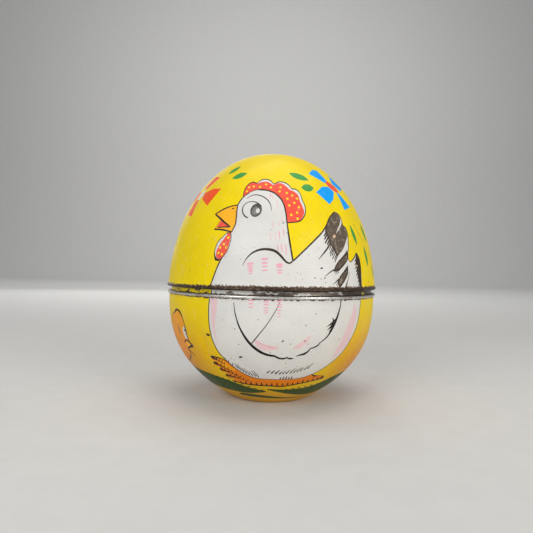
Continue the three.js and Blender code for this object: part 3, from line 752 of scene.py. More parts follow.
    # Shoulder and blush.
    shoulder = [(-14.3, 50.6), (-12.8, 52.8), (-10, 54.8), (-6.4, 55.9), (-2.9, 56.1), (0.7, 55.6)]
    shoulder += [(3.5, 54.1), (5.8, 52.3), (7.5, 51.7), (9.1, 52.3)]
    art.line("brown", shoulder, (0.1, 0.35, 0.6, 0.7, 0.55, 0.4))
    for azimuth, heights in (
        (-10.7, (51.3, 50.4, 49.6, 48.9, 48.1)),
        (-4, (52.9, 51.6, 50.5, 49.3)),
        (2.9, (51.2, 50.5, 49.4, 48.5)),
    ):
        for i, z in enumerate(heights):
            art.blob("pink", (azimuth + 0.1 * i, z), 1.25 - 0.13 * i, 0.4 - 0.04 * i, 6)
    neck_strokes = (
        (-2.1, 74.6, 1, "pink"), (-0.9, 73.8, 1.1, "blush"), (1.6, 72.2, 1, "blush"),
        (2.2, 70.6, 1, "blush"), (-3.4, 73, 1.2, "blush"), (-0.2, 64.2, 1.3, "blush"),
        (0.9, 60.5, 1.7, "blush"), (2.9, 60.9, 1.6, "pink"), (5, 62, 1.4, "pink"),
        (-1.6, 60.4, 1.4, "blush"), (2.6, 64.6, 1.2, "blush"), (4.4, 66, 1.2, "blush"),
        (2.2, 56.6, 1.2, "pink"), (4, 56.6, 1.6, "pink"), (6, 56.2, 1.9, "pink"),
    )
    for azimuth, z, length, ink in neck_strokes:
        art.blob(ink, (azimuth, z), 0.2, length, 6)
    # Comb.
    comb = [(-19.3, 74), (-19.6, 76), (-19, 78), (-17, 79.4), (-14.6, 79.8), (-11.8, 79.3)]
    comb += [(-9, 80.7), (-5.5, 80.9), (-2.2, 80.2), (-0.4, 79), (3.4, 80), (7.4, 79.7)]
    comb += [(10.1, 78.7), (11.4, 77.5), (14.4, 77.3), (16.6, 75.8), (17.2, 73.3), (18.2, 71.4)]
    comb += [(18, 69), (16.6, 67.2), (14, 65.6), (7, 64.8)]
    under = crown[4::-1] + neck[-1:]
    raised = [(x + 0.3, z + 0.3) for x, z in under]
    notches = (0, 5, 9, 13, 16, 21)
    art.fill("brown", comb + under, corners=notches)
    inner = [(-18.9, 74.2), (-19.1, 76), (-18.5, 77.7), (-16.8, 79), (-14.6, 79.4), (-11.8, 78.9)]
    inner += [(-9, 80.3), (-5.5, 80.5), (-2.4, 79.8), (-0.4, 78.6), (3.4, 79.6), (7.2, 79.3)]
    inner += [(9.8, 78.3), (11.2, 77.1), (14.2, 76.9), (16.2, 75.6), (16.7, 73.3), (17.7, 71.3)]
    inner += [(17.5, 69.1), (16.2, 67.5), (13.8, 66), (7.2, 65.2)]
    art.fill("white", inner + raised, corners=notches)
    flesh = inner[:6] + [(-9.1, 79.5), (-5.5, 79.8), (-2.6, 79.2), (-0.6, 78.4), (2.4, 79.3)]
    flesh += [(5.8, 79), (8.4, 77.8), (10.2, 76.8), (12.8, 76.2), (14.9, 75), (15.4, 72.8)]
    flesh += [(16.4, 71), (17, 69), (16, 67.5), (13.8, 66), (7.2, 65.2)]
    art.fill("red", flesh + raised, corners=notches)
    dots = [(-17.5, 76.1), (-16.7, 77.6), (-13.6, 77.9), (-9.3, 77.7), (-5.5, 78.7), (-2.1, 77.5)]
    dots += [(4.1, 77.7), (3.4, 76.1), (7.8, 75.6), (11.1, 74.8), (7.9, 73.5), (13.8, 73.7)]
    dots += [(11.8, 72.1), (8.7, 71.1), (14.2, 70.6), (12.8, 68.7), (9.4, 67.8), (12.7, 66.6)]
    for dot in dots:
        art.blob("dot", dot, *DOT_SIZE, sides=8)
    # Beak and wattle.
    beak = [(-21.4, 71.1), (-25, 70.8), (-29.1, 70), (-34.7, 68.2), (-29.8, 66.3), (-32.6, 62.8)]
    beak += [(-27.2, 62.5), (-21.8, 61.7), (-20.4, 64.5), (-20.8, 68)]
    art.fill("beak", beak, corners=(0, 3, 4, 5, 7))
    art.fill("red", [(-29.4, 66), (-23.3, 63.6), (-31.2, 63.5)], corners="all")
    art.line("brown", beak[:4], (0.35, 0.45, 0.4))
    art.line("brown", [(-34.7, 68.2), (-23.2, 63.5)], (0.45, 0.55, 0.4))
    art.line("brown", [(-23.2, 63.5), (-30.9, 63.4)], (0.4, 0.35, 0.3))
    art.line("brown", beak[5:8], (0.45, 0.5, 0.4))
    art.line("brown", [(-29.8, 66.2), (-32.5, 62.9)], (0.12, 0.12, 0.12))
    art.line("brown", [(-21.4, 71.1), (-20.8, 68), (-20.4, 64.5), (-21.8, 61.7)], (0.3, 0.35, 0.3))
    art.blob("brown", (-23.7, 69.9), 0.5, 0.25, 20)
    wattle = [(-24.6, 61.6), (-26.5, 60.2), (-28.8, 58.6), (-30, 56.2), (-30, 54), (-28.8, 52.7)]
    wattle += [(-26.9, 52.1), (-24.9, 53.3), (-23, 54.8), (-21.9, 57.1), (-21.4, 59.7)]
    wattle += [(-22, 61.6)]
    art.fill("brown", wattle, corners=(0, 11))
    art.line("brown", [(-29.8, 53.8), (-28.6, 52.6), (-26.8, 52.1)], (0.2, 0.8, 0.3))
    art.fill("white", shrunk(wattle, (-25.6, 57.0), 0.9), corners=(0, 11))
    lobe = [(-23.6, 61.4), (-25.6, 59.4), (-27.8, 57.2), (-28.9, 55.3), (-28.9, 53.8)]
    lobe += [(-27.9, 52.9), (-26.6, 52.6), (-25, 53.6), (-23.3, 55), (-22.4, 57.1), (-22, 59.7)]
    art.fill("red", lobe + [(-22.4, 61.4)], corners=(0, 11))
    dots = [(-23.2, 59.8), (-25.2, 57.6), (-27.1, 56.5), (-23.6, 56.5), (-27.6, 54.7)]
    for dot in dots + [(-25.6, 54.3)]:
        art.blob("dot", dot, *DOT_SIZE, sides=8)
    # Eye.
    art.blob("grey", (-9.9, 69.2), 1.95, 2.6, -8, sides=24)
    art.blob("pale_grey", (-10.3, 68.9), 1.15, 1.7, -8, sides=16)
    art.dashes("brown", [(-12.9, 69.4), (-12, 71), (-9.6, 71.5)], 8, 0.9, 290, 0.14)
    art.blob("white", (-8.9, 69), 0.7, 0.95, sides=14)
    white_rim = [(-14, 66.5), (-15.9, 67.2), (-17.6, 68.8), (-17.8, 70.4), (-16.1, 71.8)]
    white_rim += [(-13, 72.3), (-10, 71.9), (-7.3, 70.6)]
    art.line("brown", white_rim, (0.4, 0.3, 0.22, 0.25, 0.45))
    lid_line = [(-16.6, 73.4), (-13.6, 74.5), (-10.3, 74.7), (-6.5, 74), (-3.6, 72.7), (-1.9, 71)]
    art.line("brown", lid_line + [(-1.4, 69.1)], (0.15, 0.3, 0.32, 0.25, 0.1))
    # Leaves and flowers round the top.
    for start, end, width in (
        ((-33.8, 81.7), (-21.9, 83.4), 2.7), ((-41.5, 83.8), (-33.5, 87), 2.2),
        ((11.4, 83.6), (26.4, 81.1), 2.8), ((18, 77.9), (27.8, 78.3), 3.0),
        ((48.7, 66.2), (51, 58.6), 1.7), ((65.6, 67.4), (67.2, 60.3), 2.6),
        ((59.4, 58.8), (60.8, 51), 1.9), ((72, 46.5), (69, 52), 1.4), ((-78, 64), (-74, 57), 1.5),
        ((-86, 60), (-90, 54), 1.5), ((-84, 84), (-70, 87), 1.8),
    ):
        leaf(art, start, end, width)
    art.line("grass", [(52.7, 66.3), (56.1, 63.3), (60.7, 60.3)], (0.12, 0.15, 0.12))
    for petal in (
        [(45.8, 81.9), (43.4, 86.3), (37, 86.2), (29.3, 84), (41.8, 80.9)],
        [(58.5, 85.4), (67, 80.6), (56.5, 78.8), (50.6, 81.4)],
        [(43, 79.6), (35.7, 79.2), (28.4, 76.7), (35.9, 72.6), (41, 74.6), (46, 77.8)],
        [(48.9, 77.9), (51.4, 78), (58.1, 72.9), (48.6, 71.2)],
    ):
        art.fill("blue", petal, corners="all")
    art.blob("red", (47.6, 79.9), 3.2, 1.9, -44)
    for petal in (
        [(-49.3, 82.9), (-59.5, 83.9), (-62.8, 79.5), (-57.4, 78.4)],
        [(-38.6, 77.9), (-47.4, 78.2), (-56, 77), (-55.6, 75), (-44.4, 71.6), (-41.6, 74.6)],
        [(-59, 74.5), (-64.7, 74.9), (-67, 69.2), (-58.4, 68.2)],
        [(-64.6, 78.2), (-65.4, 75.6), (-78, 72.6), (-79.6, 78.4)],
    ):
        art.fill("vermilion", petal, corners="all")
    art.blob("white", (-60.3, 76.4), 2.3, 1.7, 60)


def picture_on_base(art):
    """The hen's body, wing and feet, a small chick beside them, and the grass below."""
    # Grass.
    left = [(-74, 13), (-60, 12.6), (-44.3, 11.8), (-31.1, 10.6), (-15, 8), (-2.8, 6.6)]
    left += [(-17, 5.3), (-37, 5.4), (-60, 6), (-76, 7)]
    right = [(-2.7, 7.7), (10.6, 7.6), (27, 7.9), (37.5, 9.2), (47, 11), (60, 12), (72, 10.8)]
    right += [(69, 7.4), (59.6, 5.5), (45, 3.9), (30, 4.2), (14.8, 5.4)]
    front = [(-26, 4.8), (-5.6, 4.4), (14.4, 3.4), (41, 2.6), (14, 2.7), (-10, 3.2), (-30, 3.9)]
    far_left = [(-98, 13), (-90, 15), (-74, 13.6), (-78, 9.4), (-94, 8.4)]
    for points in (left, right, front, far_left):
        art.fill("grass", points)
    art.dashes("grass", [(-58, 12), (-30, 10.4), (-8, 7)], 12, 1.6, 20, 0.5)
    art.dashes("grass", [(14, 7.4), (40, 9), (66, 12)], 12, 1.6, 150, 0.5)
    # Chick.
    chick = [(-67.9, 31.4), (-61.5, 33.6), (-58, 34.4), (-54.5, 33.7), (-52, 32), (-50.6, 30)]
    chick += [(-49.9, 27), (-49.7, 24.2), (-47.2, 22), (-52.6, 20.6), (-52.6, 19), (-58.5, 16.4)]
    chick += [(-68, 14.6), (-80, 15), (-89, 18.5), (-93, 25), (-88, 26.5), (-80, 24.5), (-72, 27)]
    art.fill("black", chick, corners=(7, 8, 9, 15))
    art.fill("amber", shrunk(chick, (-66.0, 24.0), (0.965, 0.97)), corners=(7, 8, 9, 15))
    art.fill("beak", [(-52.4, 23.5), (-49.8, 23.6), (-47.8, 22), (-53.6, 20.8)], corners="all")
    art.line("black", [(-55.4, 22.6), (-53.4, 23.6), (-50.7, 23.6), (-47.2, 22)], (0.4, 0.5, 0.8))
    art.line("black", [(-47.2, 22), (-50, 21.6), (-54.3, 20.6)], (0.9, 0.5, 0.3))
    eye = [(-53.4, 28), (-51.8, 28.7), (-50.7, 27.8), (-50.8, 26.2), (-50.4, 24.4), (-52.4, 24.3)]
    art.fill("white", eye + [(-53.6, 26)])
    art.line("black", [(-51.6, 28.9), (-50.2, 27.8), (-50.6, 26.3), (-49.7, 24.2)], (0.2, 0.6, 0.3, 0.5))
    art.blob("black", (-51.4, 27.4), 0.35, 0.6, 5)
    art.line("grey", [(-59, 29.2), (-58.4, 27.5), (-57, 25.4)], (0.3, 0.6, 0.3))
    art.line("black", [(-62.6, 32.9), (-58.8, 34.3), (-54.8, 34), (-52, 32.3)], (0.5, 0.6, 0.4, 0.2))
    art.line("black", [(-84, 23), (-78, 19.5), (-71, 20.5), (-67, 24)], (0.2, 0.4, 0.2))
    art.line("black", [(-54.4, 20.2), (-51.6, 19.4), (-49, 17.9)], (0.35, 0.4, 0.2))
    art.line("black", [(-58.6, 18.6), (-57.4, 17.2), (-55, 16.4)], (0.35, 0.4, 0.2))
    art.dashes("black", [(-62, 15.8), (-54, 18)], 5, 1.5, 250, 0.25)
    # Feet.
    toes = [(-24, 18.4), (-29, 19.4), (-34.8, 19.6), (-35.6, 18.9), (-31.5, 17.6), (-35, 17.2)]
    toes += [(-34.6, 16.4), (-29.4, 15.8), (-32, 15), (-31, 14.2), (-26.6, 13.6), (-30, 12.6)]
    toes += [(-28.6, 11.7), (-23.4, 11.4), (-26.6, 10.5), (-17.5, 9.6), (-8, 9.4), (0.2, 9.3)]
    toes += [(8.6, 9.1), (17.5, 9.8), (26.5, 10.6), (37.8, 11.6), (38, 12.2), (33, 13), (26, 13.6)]
    sharp = (2, 4, 5, 7, 8, 10, 11, 13, 14, 21, 22)
    art.fill("black", toes, corners=sharp)
    art.fill("orange", shrunk(toes, (-4.0, 13.0), (0.98, 0.93)), corners=sharp)
    lit = [(-33, 18.7), (-26.6, 18.3), (-24.6, 17), (-20.6, 15.2), (-24.3, 14.9), (-28.7, 16.2)]
    art.fill("amber", lit + [(-32.2, 17.8)])
    for tip, root in (
        ((-34.4, 18.9), (-27, 17)), ((-34, 16.9), (-24, 14.4)), ((-31, 14.8), (-19, 12.4)),
        ((-28.8, 12.6), (-15, 11)),
    ):
        bend = ((tip[0] + root[0]) / 2, (tip[1] + root[1]) / 2 + 0.3)
        art.line("black", [tip, bend, root], (0.8, 0.3, 0.15))
        art.dashes("black", [tip, bend, root], 6, 1.2, 70, 0.36, 0.12)
    art.line("black", toes[14:22], (0.3, 0.5, 0.5, 0.4, 0.6))
    art.dashes("black", [(-20, 9.9), (0, 9.5), (18, 10), (36, 11.8)], 17, 1.5, 92, 0.5, 0.2)
    art.line("black", [(34.6, 11.7), (37.6, 11.9)], (0.3, 1.0, 0.7))
    # Body.
    body = [(-31.2, 48), (-31.3, 39.5), (-31.7, 36), (-31.8, 32), (-31.5, 28.4), (-30.6, 25)]
    body += [(-28.5, 21.4), (-24.6, 18.4), (-20.2, 15.7), (-14.6, 13.6), (-8.5, 12.5), (0, 12.2)]
    body += [(8, 12.2), (15, 12.3), (21.3, 12.8), (28.3, 14.4), (36.2, 17.6), (41.2, 20.6)]
    body += [(44.3, 23.8), (47.4, 27.8), (49.6, 32.2), (50.6, 37), (51.1, 40), (51.0, 48)]
    art.fill("white", body, corners=(0, 23))
    art.line("black", [(26, 13.8), (28.6, 13), (31, 12.9)], (0.2, 0.6, 0.2))
    glow = [(-30.2, 40.6), (-27, 40.6), (-27, 36.2), (-28.2, 31.4), (-28, 26.2), (-27, 24.4)]
    art.fill("blush", glow + [(-29, 26.6), (-30, 30.4), (-30.3, 35)])
    glow = [(45.2, 39), (47.4, 35.4), (46.9, 30.8), (45.2, 27.2), (42.6, 23.4), (39.4, 20.8)]
    glow += [(35, 18.8), (36.2, 21.6), (38.4, 26.2), (41, 30.8), (43.8, 35.2)]
    art.fill("blush", glow, corners=(0, 6))
    art.line("brown", body[:9], (0.3, 0.3, 0.3))
    art.line("brown", body[8:15], (0.3, 0.2, 0.2))
    art.line("brown", body[14:], (0.2, 0.25, 0.25))
    art.fill("blush", [(-8.4, 27), (-3.4, 25.2), (3.4, 24.4), (-0.8, 22.9), (-6.2, 23.8)])
    glow = [(10.6, 23.7), (15.4, 24.3), (18.4, 26.4), (19.4, 28.6), (16.4, 26.9), (13, 25.3)]
    art.fill("blush", glow)
    art.dashes("pink", [(-7.4, 26), (0.5, 24.2)], 5, 2.2, 335, 0.22)
    # Wing.
    wing = [(-18.2, 38.6), (-17.4, 35.1), (-15.8, 31.3), (-13.2, 27.8), (-10, 24.9), (-5.4, 22.5)]
    art.line("black", wing + [(-1.5, 21.5), (1.9, 21.2)], (0.15, 0.35, 0.6, 0.8, 0.6))
    art.line("black", [(1.9, 21.2), (3.4, 20.6), (5.3, 20.3), (7.4, 20.4), (8.6, 20.9)], (0.5, 0.6, 0.3))
    art.line("black", [(8.4, 20.4), (10, 20.3), (11.8, 20.3)], (0.3, 0.6, 0.2))
    scallop = [(12.9, 21), (14.6, 21.5), (17, 21.8), (19.1, 22.8), (20, 23.9)]
    art.line("black", scallop, (0.2, 0.65, 0.25))
    art.line("black", [(19.9, 23.7), (22.2, 24.1), (24, 24.8), (24.9, 25.8)], (0.3, 0.45, 0.25))
    art.line("black", [(24.8, 25.5), (28.2, 27.4), (30, 29.2), (31.8, 31.8)], (0.25, 0.45, 0.8))
    art.line("black", [(31.8, 31.8), (33.2, 34), (34.6, 37), (35.4, 39.8)], (0.8, 0.45, 0.2))
    art.line("brown", [(3.9, 39.8), (1.8, 36.6), (-2.1, 32), (-5.8, 28.6), (-10, 25)], (0.15, 0.2, 0.3))
    tuft = [(32.4, 33.6), (31.5, 33.2), (30.2, 34.1), (30.7, 32.7), (26.8, 30.7), (30.2, 31.6)]
    tuft += [(27.5, 29.6), (30.2, 30.5), (28.7, 29.1), (30.6, 29.7), (31.4, 30.9), (32.2, 32.4)]
    art.fill("black", tuft, corners="all")
    art.line("brown", [(34.9, 38.6), (35.3, 41)], (0.2, 0.3, 0.2))
    for azimuth, heights in (
        (-9.9, (39.4, 38.4, 37.3)),
        (-2.8, (39.2, 38.3, 37.2, 36.3, 35.6)),
        (3.2, (39.4, 38.4, 37.5, 36.5, 35.5, 34.6)),
    ):
        for i, z in enumerate(heights):
            art.blob("pink", (azimuth, z), 1.1 - 0.1 * i, 0.27 - 0.02 * i, 4)
    art.dashes("black", [(-2, 14.8), (5, 14.4)], 4, 2.0, 50, 0.5, 0.15)
    art.dashes("black", [(7, 14.4), (14, 14.9), (21.4, 16.2)], 8, 2.4, 60, 0.36, 0.12)
    art.dashes("black", [(-18.8, 15.9), (-13.4, 13.9), (-7, 12.9)], 8, 3.2, 116, 0.3, 0.1)
    art.dashes("black", [(-25.4, 18.9), (-21.8, 16.9)], 3, 1.0, 80, 0.3)
    art.dashes("black", [(6, 12.4), (13, 12.4)], 5, 1.2, 80, 0.42, 0.2)
    # Old chips in the ink.
    for azimuth, z, across in (
        (-33.3, 27.1, 1.0), (5.5, 26.4, 0.5), (9.4, 25.4, 0.3), (16.6, 26.4, 0.4), (-16, 20.3, 0.75),
        (-16.2, 24.8, 0.3), (-17.8, 29.9, 0.3), (-6.5, 33.3, 0.25), (21, 35.4, 0.3),
    ):
        chip(art, azimuth, z, across, turn=30 + azimuth)


def egg_half(name, node, body, outline, dents, inks, picture, below, above, above_ink):
    """One printed half of the egg, which stands for its CAD node and rides on its body."""
    half = EggHalf(outline, dents)
    art = Print(half.flatten, half.stretch)
    for turn in PRINT_TURNS:
        half.turn = turn
        picture(art)
    half.turn = 0.0
    made = half.build(name, art, inks, below, above, above_ink)
    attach(made, body)
    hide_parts(node)
    return made


def inner_wall(outline_radius, heights):
    """The inside face, one wall in from an outside given by its radius at each height."""
    rings = []
    for z in heights:
        slope = (outline_radius(z + 0.1) - outline_radius(z - 0.1)) / 0.2
        length = math.hypot(1, slope)
        rings.append((outline_radius(z) - WALL / length, z + WALL * slope / length))
    return rings


floor_z = FOOT_RECESS + WALL
base_below = arc(FOOT_RECESS_R + 0.7, 0.3, 0.3, 270, 200, 3)
base_below += arc(FOOT_RECESS_R - 0.2, FOOT_RECESS - 0.3, 0.3, 20, 90, 3)
base_below += [(6.0, FOOT_RECESS), (0.0, FOOT_RECESS)]
base_above = arc(NECK_R - 0.35, NECK_TOP - 0.35, 0.35, 110, 180, 3)
base_above += [(NECK_R - WALL - 0.2, 45.0), (NECK_R - WALL, 43.0), (NECK_R - WALL, 41.2)]
base_above += inner_wall(base_radius, np.linspace(SEAM_Z - 0.6, 1.8, 18))
base_above += [(FOOT_RECESS_R + 1.2, floor_z), (6.0, floor_z), (0.0, floor_z)]
egg_half(
    "egg_lower_half", "egg_base", "egg_lower", base_outline(), BASE_DENTS, base_inks,
    picture_on_base, base_below, base_above, len(INK_NAMES),
)

lid_below = arc(NECK_R + 0.72, LID_RIM_Z + 0.4, 0.36, 260, 180, 4)
lid_below += [(NECK_R + 0.4, LID_RIM_Z + 1.2), (NECK_R + 0.7, LID_RIM_Z + 1.7)]
lid_below += inner_wall(lid_radius, SEAM_Z + LID_HEIGHT * np.sin(np.linspace(0.1, 1.52, 22)))
lid_below += [(0.0, SEAM_Z + LID_HEIGHT - WALL)]
lid_above = [(0.0, SEAM_Z + LID_HEIGHT)]
egg_half(
    "egg_upper_half", "egg_lid", "egg_upper", lid_outline(), LID_DENTS, lid_inks,
    picture_on_lid, lid_below, lid_above, INK_NAMES.index("yellow"),
)

# ------------------------------------------------------------------ the chick's printed shells
CHICK_OUTLINE = [
    (-25.5, 52.5), (-21, 48.6), (-18.5, 43.5), (-21.5, 34), (-19.5, 22.5), (-12, 14), (1, 11.5),
    (13.5, 13.5), (21.5, 21.5), (25.5, 32), (30.5, 44.5), (23, 44), (12.5, 44.5), (4.5, 48.5),
    (3.2, 56), (-2.2, 63), (-9.5, 66), (-16.5, 62.5), (-20, 56),
]
chick_edge = np.array(smooth(CHICK_OUTLINE, closed=True, step=1.2))
edge_from_hub = chick_edge - HUB
edge_angle = np.unwrap(np.arctan2(edge_from_hub[:, 1], edge_from_hub[:, 0]))


def half_width(z):
    t = np.clip((z - 36.0) / 16.0, 0, 1)
    return SHELL_HALF_WIDTH + (HEAD_HALF_WIDTH - SHELL_HALF_WIDTH) * t * t * (3 - 2 * t)


def cross(a, b):
    return a[:, 0] * b[:, 1] - a[:, 1] * b[:, 0]


def shell_points(flat, side):
    """Flat (x, z) points pushed out to the bulging side of the chick."""
    away = flat - HUB
    angle = np.arctan2(away[:, 1], away[:, 0])
    angle = np.where(angle < edge_angle[0], angle + 2 * math.pi, angle)
    start = np.clip(np.searchsorted(edge_angle, angle, side="right") - 1, 0, len(edge_angle) - 1)
    a, b = edge_from_hub[start], np.roll(edge_from_hub, -1, axis=0)[start]
    # How far out each point is, from 0 at the hub to 1 on the outline.
    ring = np.clip(cross(away, b - a) / cross(a, b - a), 0, 1)
    bulge = np.sqrt(1 - ring**4) * (half_width(flat[:, 1]) - SHELL_GAP)
    return np.stack([flat[:, 0], side * (SHELL_GAP + bulge), flat[:, 1] - CHICK_DROP], 1)


def shell_tab(x, z, side):
    """Pairs of points across a tab, each from its cut-cornered end to inside the shell's wall."""
    points = []
    uncut = TAB_HALF_WIDTH - TAB_CORNER
    for across in (-TAB_HALF_WIDTH, -uncut, uncut, TAB_HALF_WIDTH):
        cut = TAB_CORNER if abs(across) == TAB_HALF_WIDTH else 0.0
        wall = shell_points(np.array([(x + across, z)]), side)[0]
        points.append((x + across, side * (TAB_REACH + cut), z - CHICK_DROP))
        points.append((wall[0], wall[1] - side * WALL / 2, wall[2]))
    return points


def picture_on_chick(art):
    """The chick's face, wing and feathers, in the side view's x and z."""
    art.fill("beak", [(-30, 54), (-21, 58), (-19.4, 55), (-19.6, 51), (-21, 47)], corners=(0, 1, 4))
    art.line("brown", [(-26, 52.6), (-22.5, 52.9), (-19.6, 52.4)], (0.3, 0.4, 0.2))
    art.line("brown", [(-20.8, 57.6), (-19.5, 55), (-19.7, 51), (-21, 48.4)], (0.2, 0.35, 0.2))
    art.blob("brown", (-13, 56.6), 2.9, 3.3, sides=24)
    art.blob("white", (-13, 56.6), 2.5, 2.9, sides=24)
    art.blob("black", (-13.6, 56.2), 1.5, 1.9, sides=20)
    art.blob("white", (-13.1, 57), 0.5, 0.6)
    art.blob("orange", (-13.5, 50), 2.2, 1.7, sides=20)
    wing = [(-9, 38.5), (-3, 42), (5, 42), (13, 39.5), (18, 34), (20, 27.5), (15.5, 28.5)]
    wing += [(14, 24.6), (9.5, 26.4), (6.5, 23), (2.5, 25.6), (-1.5, 23.6), (-4, 27), (-8, 30.5)]
    corners = (5, 6, 7, 8, 9, 10, 11, 12)
    art.fill("brown", wing, corners=corners)
    art.fill("beak", shrunk(wing, (4.0, 33.0), 0.965), corners=corners)
    for start, end in (
        ((-4, 35), (-2, 27.5)),
        ((2, 36), (4.5, 28)),
        ((7.5, 36), (10.5, 29.5)),
        ((12.5, 35), (15.5, 30.6)),
    ):
        middle = ((start[0] + end[0]) / 2 + 1.2, (start[1] + end[1]) / 2)
        art.line("brown", [start, middle, end], (0.15, 0.45, 0.15))
    for start, end in (((22, 40), (28, 43)), ((20.5, 37.5), (27, 39)), ((21.5, 42), (25, 43.6))):
        art.line("brown", [start, end], (0.15, 0.5, 0.2))
    art.dashes("orange", [(-17, 44), (-19, 34), (-16, 23)], 9, 2.6, 15, 0.35)
    art.dashes("orange", [(-10, 21), (2, 19), (14, 21)], 9, 2.4, 75, 0.35)
    art.dashes("brown", [(-9, 64), (-4, 62), (0, 58)], 6, 1.8, 240, 0.25)


toy_colours = dict(INKS, yellow=(srgb(248, 204, 26), None))
toy_inks = [toy_ink(name, toy_colours[name][0]) for name in INK_NAMES]


def chick_shell(name, node, side):
    """One printed side of the chick with its two tabs; side is -1 or 1, as its y is."""
    art = Print(np.array, lambda flat: 1.0)
    picture_on_chick(art)
    loops = []
    for k in range(SHELL_RINGS):
        ring = math.cos(k / SHELL_RINGS * math.pi / 2) ** 0.5
        loop = [HUB + (p - HUB) * ring for p in chick_edge]
        loops.append({"points": loop + loop[:1], "chain": True})
    low = [(x, SHELL_OPEN_Z) for x in np.arange(-30.0, 31.0)]
    loops.append({"points": low, "chain": True})
    loops.append({"points": [HUB], "chain": False})
    if side < 0:
        hole = [
            (WIND_AXIS[0] + KEY_HOLE_R * math.cos(a), WIND_AXIS[1] + KEY_HOLE_R * math.sin(a))
            for a in np.linspace(0, 2 * math.pi, 33)
        ]
        loops.append({"points": hole, "chain": True})

    def keep(centres):
        kept = inside(chick_edge, centres) & (centres[:, 1] > SHELL_OPEN_Z)
        if side < 0:
            kept &= np.linalg.norm(centres - WIND_AXIS, axis=1) > KEY_HOLE_R - 0.03
        return kept

    flat, skin, slots = art.mesh(loops, keep, "yellow")
    points = list(shell_points(flat, side))
    faces = [tuple(f[::-side]) for f in skin]
    slots = list(slots)
    for x, z in TABS:
        first = len(points)
        points += shell_tab(x, z + WALL / 2, side)
        for a in range(first, len(points) - 2, 2):
            faces.append((a, a + 2, a + 3, a + 1)[::side])
            slots.append(len(INK_NAMES))
    made = make_object(name, points, faces, toy_inks + [inside_tin], slots)
    wall = made.modifiers.new("tin thickness", "SOLIDIFY")
    wall.thickness = WALL * MM
    wall.offset = -1.0
    # The inside and the cut edges are bare tin, the last material.
    wall.material_offset = len(INK_NAMES)
    wall.material_offset_rim = len(INK_NAMES)
    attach(made, "chick")
    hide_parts(node)


chick_shell("chick_left_side", "chick_shell_left", -1)
chick_shell("chick_right_side", "chick_shell_right", 1)

# ------------------------------------------------------------------ metal pieces
steel = plain_metal("steel", srgb(150, 148, 144), 0.36)
plated = plain_metal("plated_steel", srgb(190, 186, 176), 0.22, amount=0.35)
blued = plain_metal("blued_spring", srgb(70, 74, 88), 0.3, tarnish=srgb(48, 52, 70))
brass = plain_metal("brass", srgb(186, 150, 84), 0.3, tarnish=srgb(110, 82, 40))
foot_shader = Shader("foot_ink")
foot_edge = foot_shader.ramp(foot_shader.noise(1.5, 4.0), 0.66, 0.7)
foot_ink = finish_print(foot_shader, srgb(232, 112, 20), foot_edge, TIN)

MATERIAL_OF_SLOT = {
    "steel": steel,
    "plated_steel": plated,
    "spring_steel": blued,
    "brass": brass,
    "orange_print": foot_ink,
}
BEVELLED = {
    "winding_key": 0.3,
    "foot_left": 0.15,
    "foot_right": 0.15,
    "leg_left": 0.12,
    "leg_right": 0.12,
    "leg_cross_bar": 0.2,
    "leg_pivot_pin": 0.2,
    "frame_plate_left": 0.1,
    "frame_plate_right": 0.1,
}
record = frame["record"]
body_of_node = {
    node: body for body, nodes in record["behaviour"]["bodies"].items() for node in nodes
}
for part in record["subparts"]:
    node, slot = part["node"], part["material_slot"]
    if slot not in MATERIAL_OF_SLOT:
        continue
    shown = frame["nodes"][node]
    if node in BEVELLED:
        shown = bpy.data.objects.new(node + "_finished", shown.data.copy())
        bpy.context.scene.collection.objects.link(shown)
        weld = shown.modifiers.new("weld", "WELD")
        weld.merge_threshold = 0.01 * MM
        bevel = shown.modifiers.new("rounded edges", "BEVEL")
        bevel.width = BEVELLED[node] * MM
        bevel.segments = 2
        bevel.limit_method = "ANGLE"
        bevel.angle_limit = math.radians(35)
        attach(shown, body_of_node[node])
        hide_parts(node)
    shown.data.materials.clear()
    shown.data.materials.append(MATERIAL_OF_SLOT[slot])

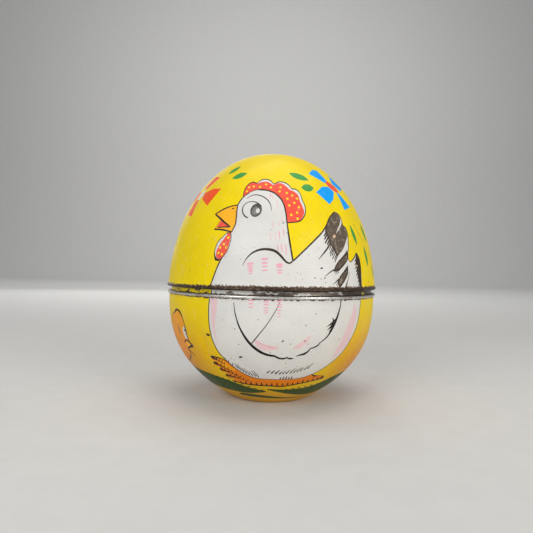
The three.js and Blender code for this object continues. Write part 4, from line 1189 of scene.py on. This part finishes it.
# ------------------------------------------------------------------ floor, light and camera
SWEEP_FRONT, SWEEP_BACK, SWEEP_SIDE = -1600.0, 1300.0, 2500.0
SWEEP_BEND, SWEEP_TOP = 500.0, 1800.0
profile = [(SWEEP_FRONT, 0.0)]
profile += [(y, z + SWEEP_BEND) for y, z in arc(SWEEP_BACK, 0.0, SWEEP_BEND, 270, 360, 16)]
profile.append((SWEEP_BACK + SWEEP_BEND, SWEEP_TOP))
points = [(x, y, z) for y, z in profile for x in (-SWEEP_SIDE, SWEEP_SIDE)]
faces = [(2 * i, 2 * i + 1, 2 * i + 3, 2 * i + 2) for i in range(len(profile) - 1)]
floor_shader = Shader("pale_floor")
floor_tone = floor_shader.ramp(floor_shader.noise(9.0, 3.0), 0.3, 0.7)
floor_shader.set(
    Base_Color=floor_shader.mix(floor_tone, srgb(207, 206, 203), srgb(210, 209, 206)),
    Roughness=0.75,
)
floor = make_object("floor", points, faces, [floor_shader.material], [0] * len(faces))

world = bpy.data.worlds.new("studio")
world.use_nodes = True
world.node_tree.nodes["Background"].inputs["Color"].default_value = srgb(214, 216, 220)
world.node_tree.nodes["Background"].inputs["Strength"].default_value = 0.38
bpy.context.scene.world = world


def area_light(name, place, size, watts, colour=(1, 1, 1), target=(0, 0, 50)):
    data = bpy.data.lights.new(name, "AREA")
    data.shape = "RECTANGLE"
    data.size, data.size_y = (s * MM for s in size)
    data.energy = watts
    data.color = colour
    made = bpy.data.objects.new(name, data)
    made.location = Vector(place) * MM
    towards = Vector(target) * MM - made.location
    made.rotation_euler = towards.to_track_quat("-Z", "Y").to_euler()
    bpy.context.scene.collection.objects.link(made)


area_light("overhead", (40, 60, 640), (520, 420), 1.45, (1.0, 0.98, 0.95))
area_light("front_left", (-380, -560, 330), (380, 420), 2.5)
area_light("front_right", (480, -480, 260), (360, 400), 2.5, (1.0, 0.97, 0.93))
area_light("behind", (-200, 700, 300), (600, 400), 0.8)
area_light("on_backdrop", (0, 500, 900), (900, 300), 9.0, target=(0, 1700, 500))

CAMERA_AWAY = 198.5
CAMERA_HEIGHT = SEAM_Z + 10.0
CAMERA_LEFT = 2.1
CAMERA_ROLL = 0.021
CAMERA_LENS = 33.3
camera_data = bpy.data.cameras.new("camera")
camera_data.sensor_width = 36.0
camera_data.lens = CAMERA_LENS
camera_data.clip_start = 0.01
camera = bpy.data.objects.new("camera", camera_data)
camera.matrix_world = (
    Matrix.Translation(Vector((-CAMERA_LEFT, -CAMERA_AWAY, CAMERA_HEIGHT)) * MM)
    @ Matrix.Rotation(math.pi / 2, 4, "X")
    @ Matrix.Rotation(CAMERA_ROLL, 4, "Z")
)
bpy.context.scene.collection.objects.link(camera)
bpy.context.scene.camera = camera
bpy.context.scene.view_settings.view_transform = "Standard"
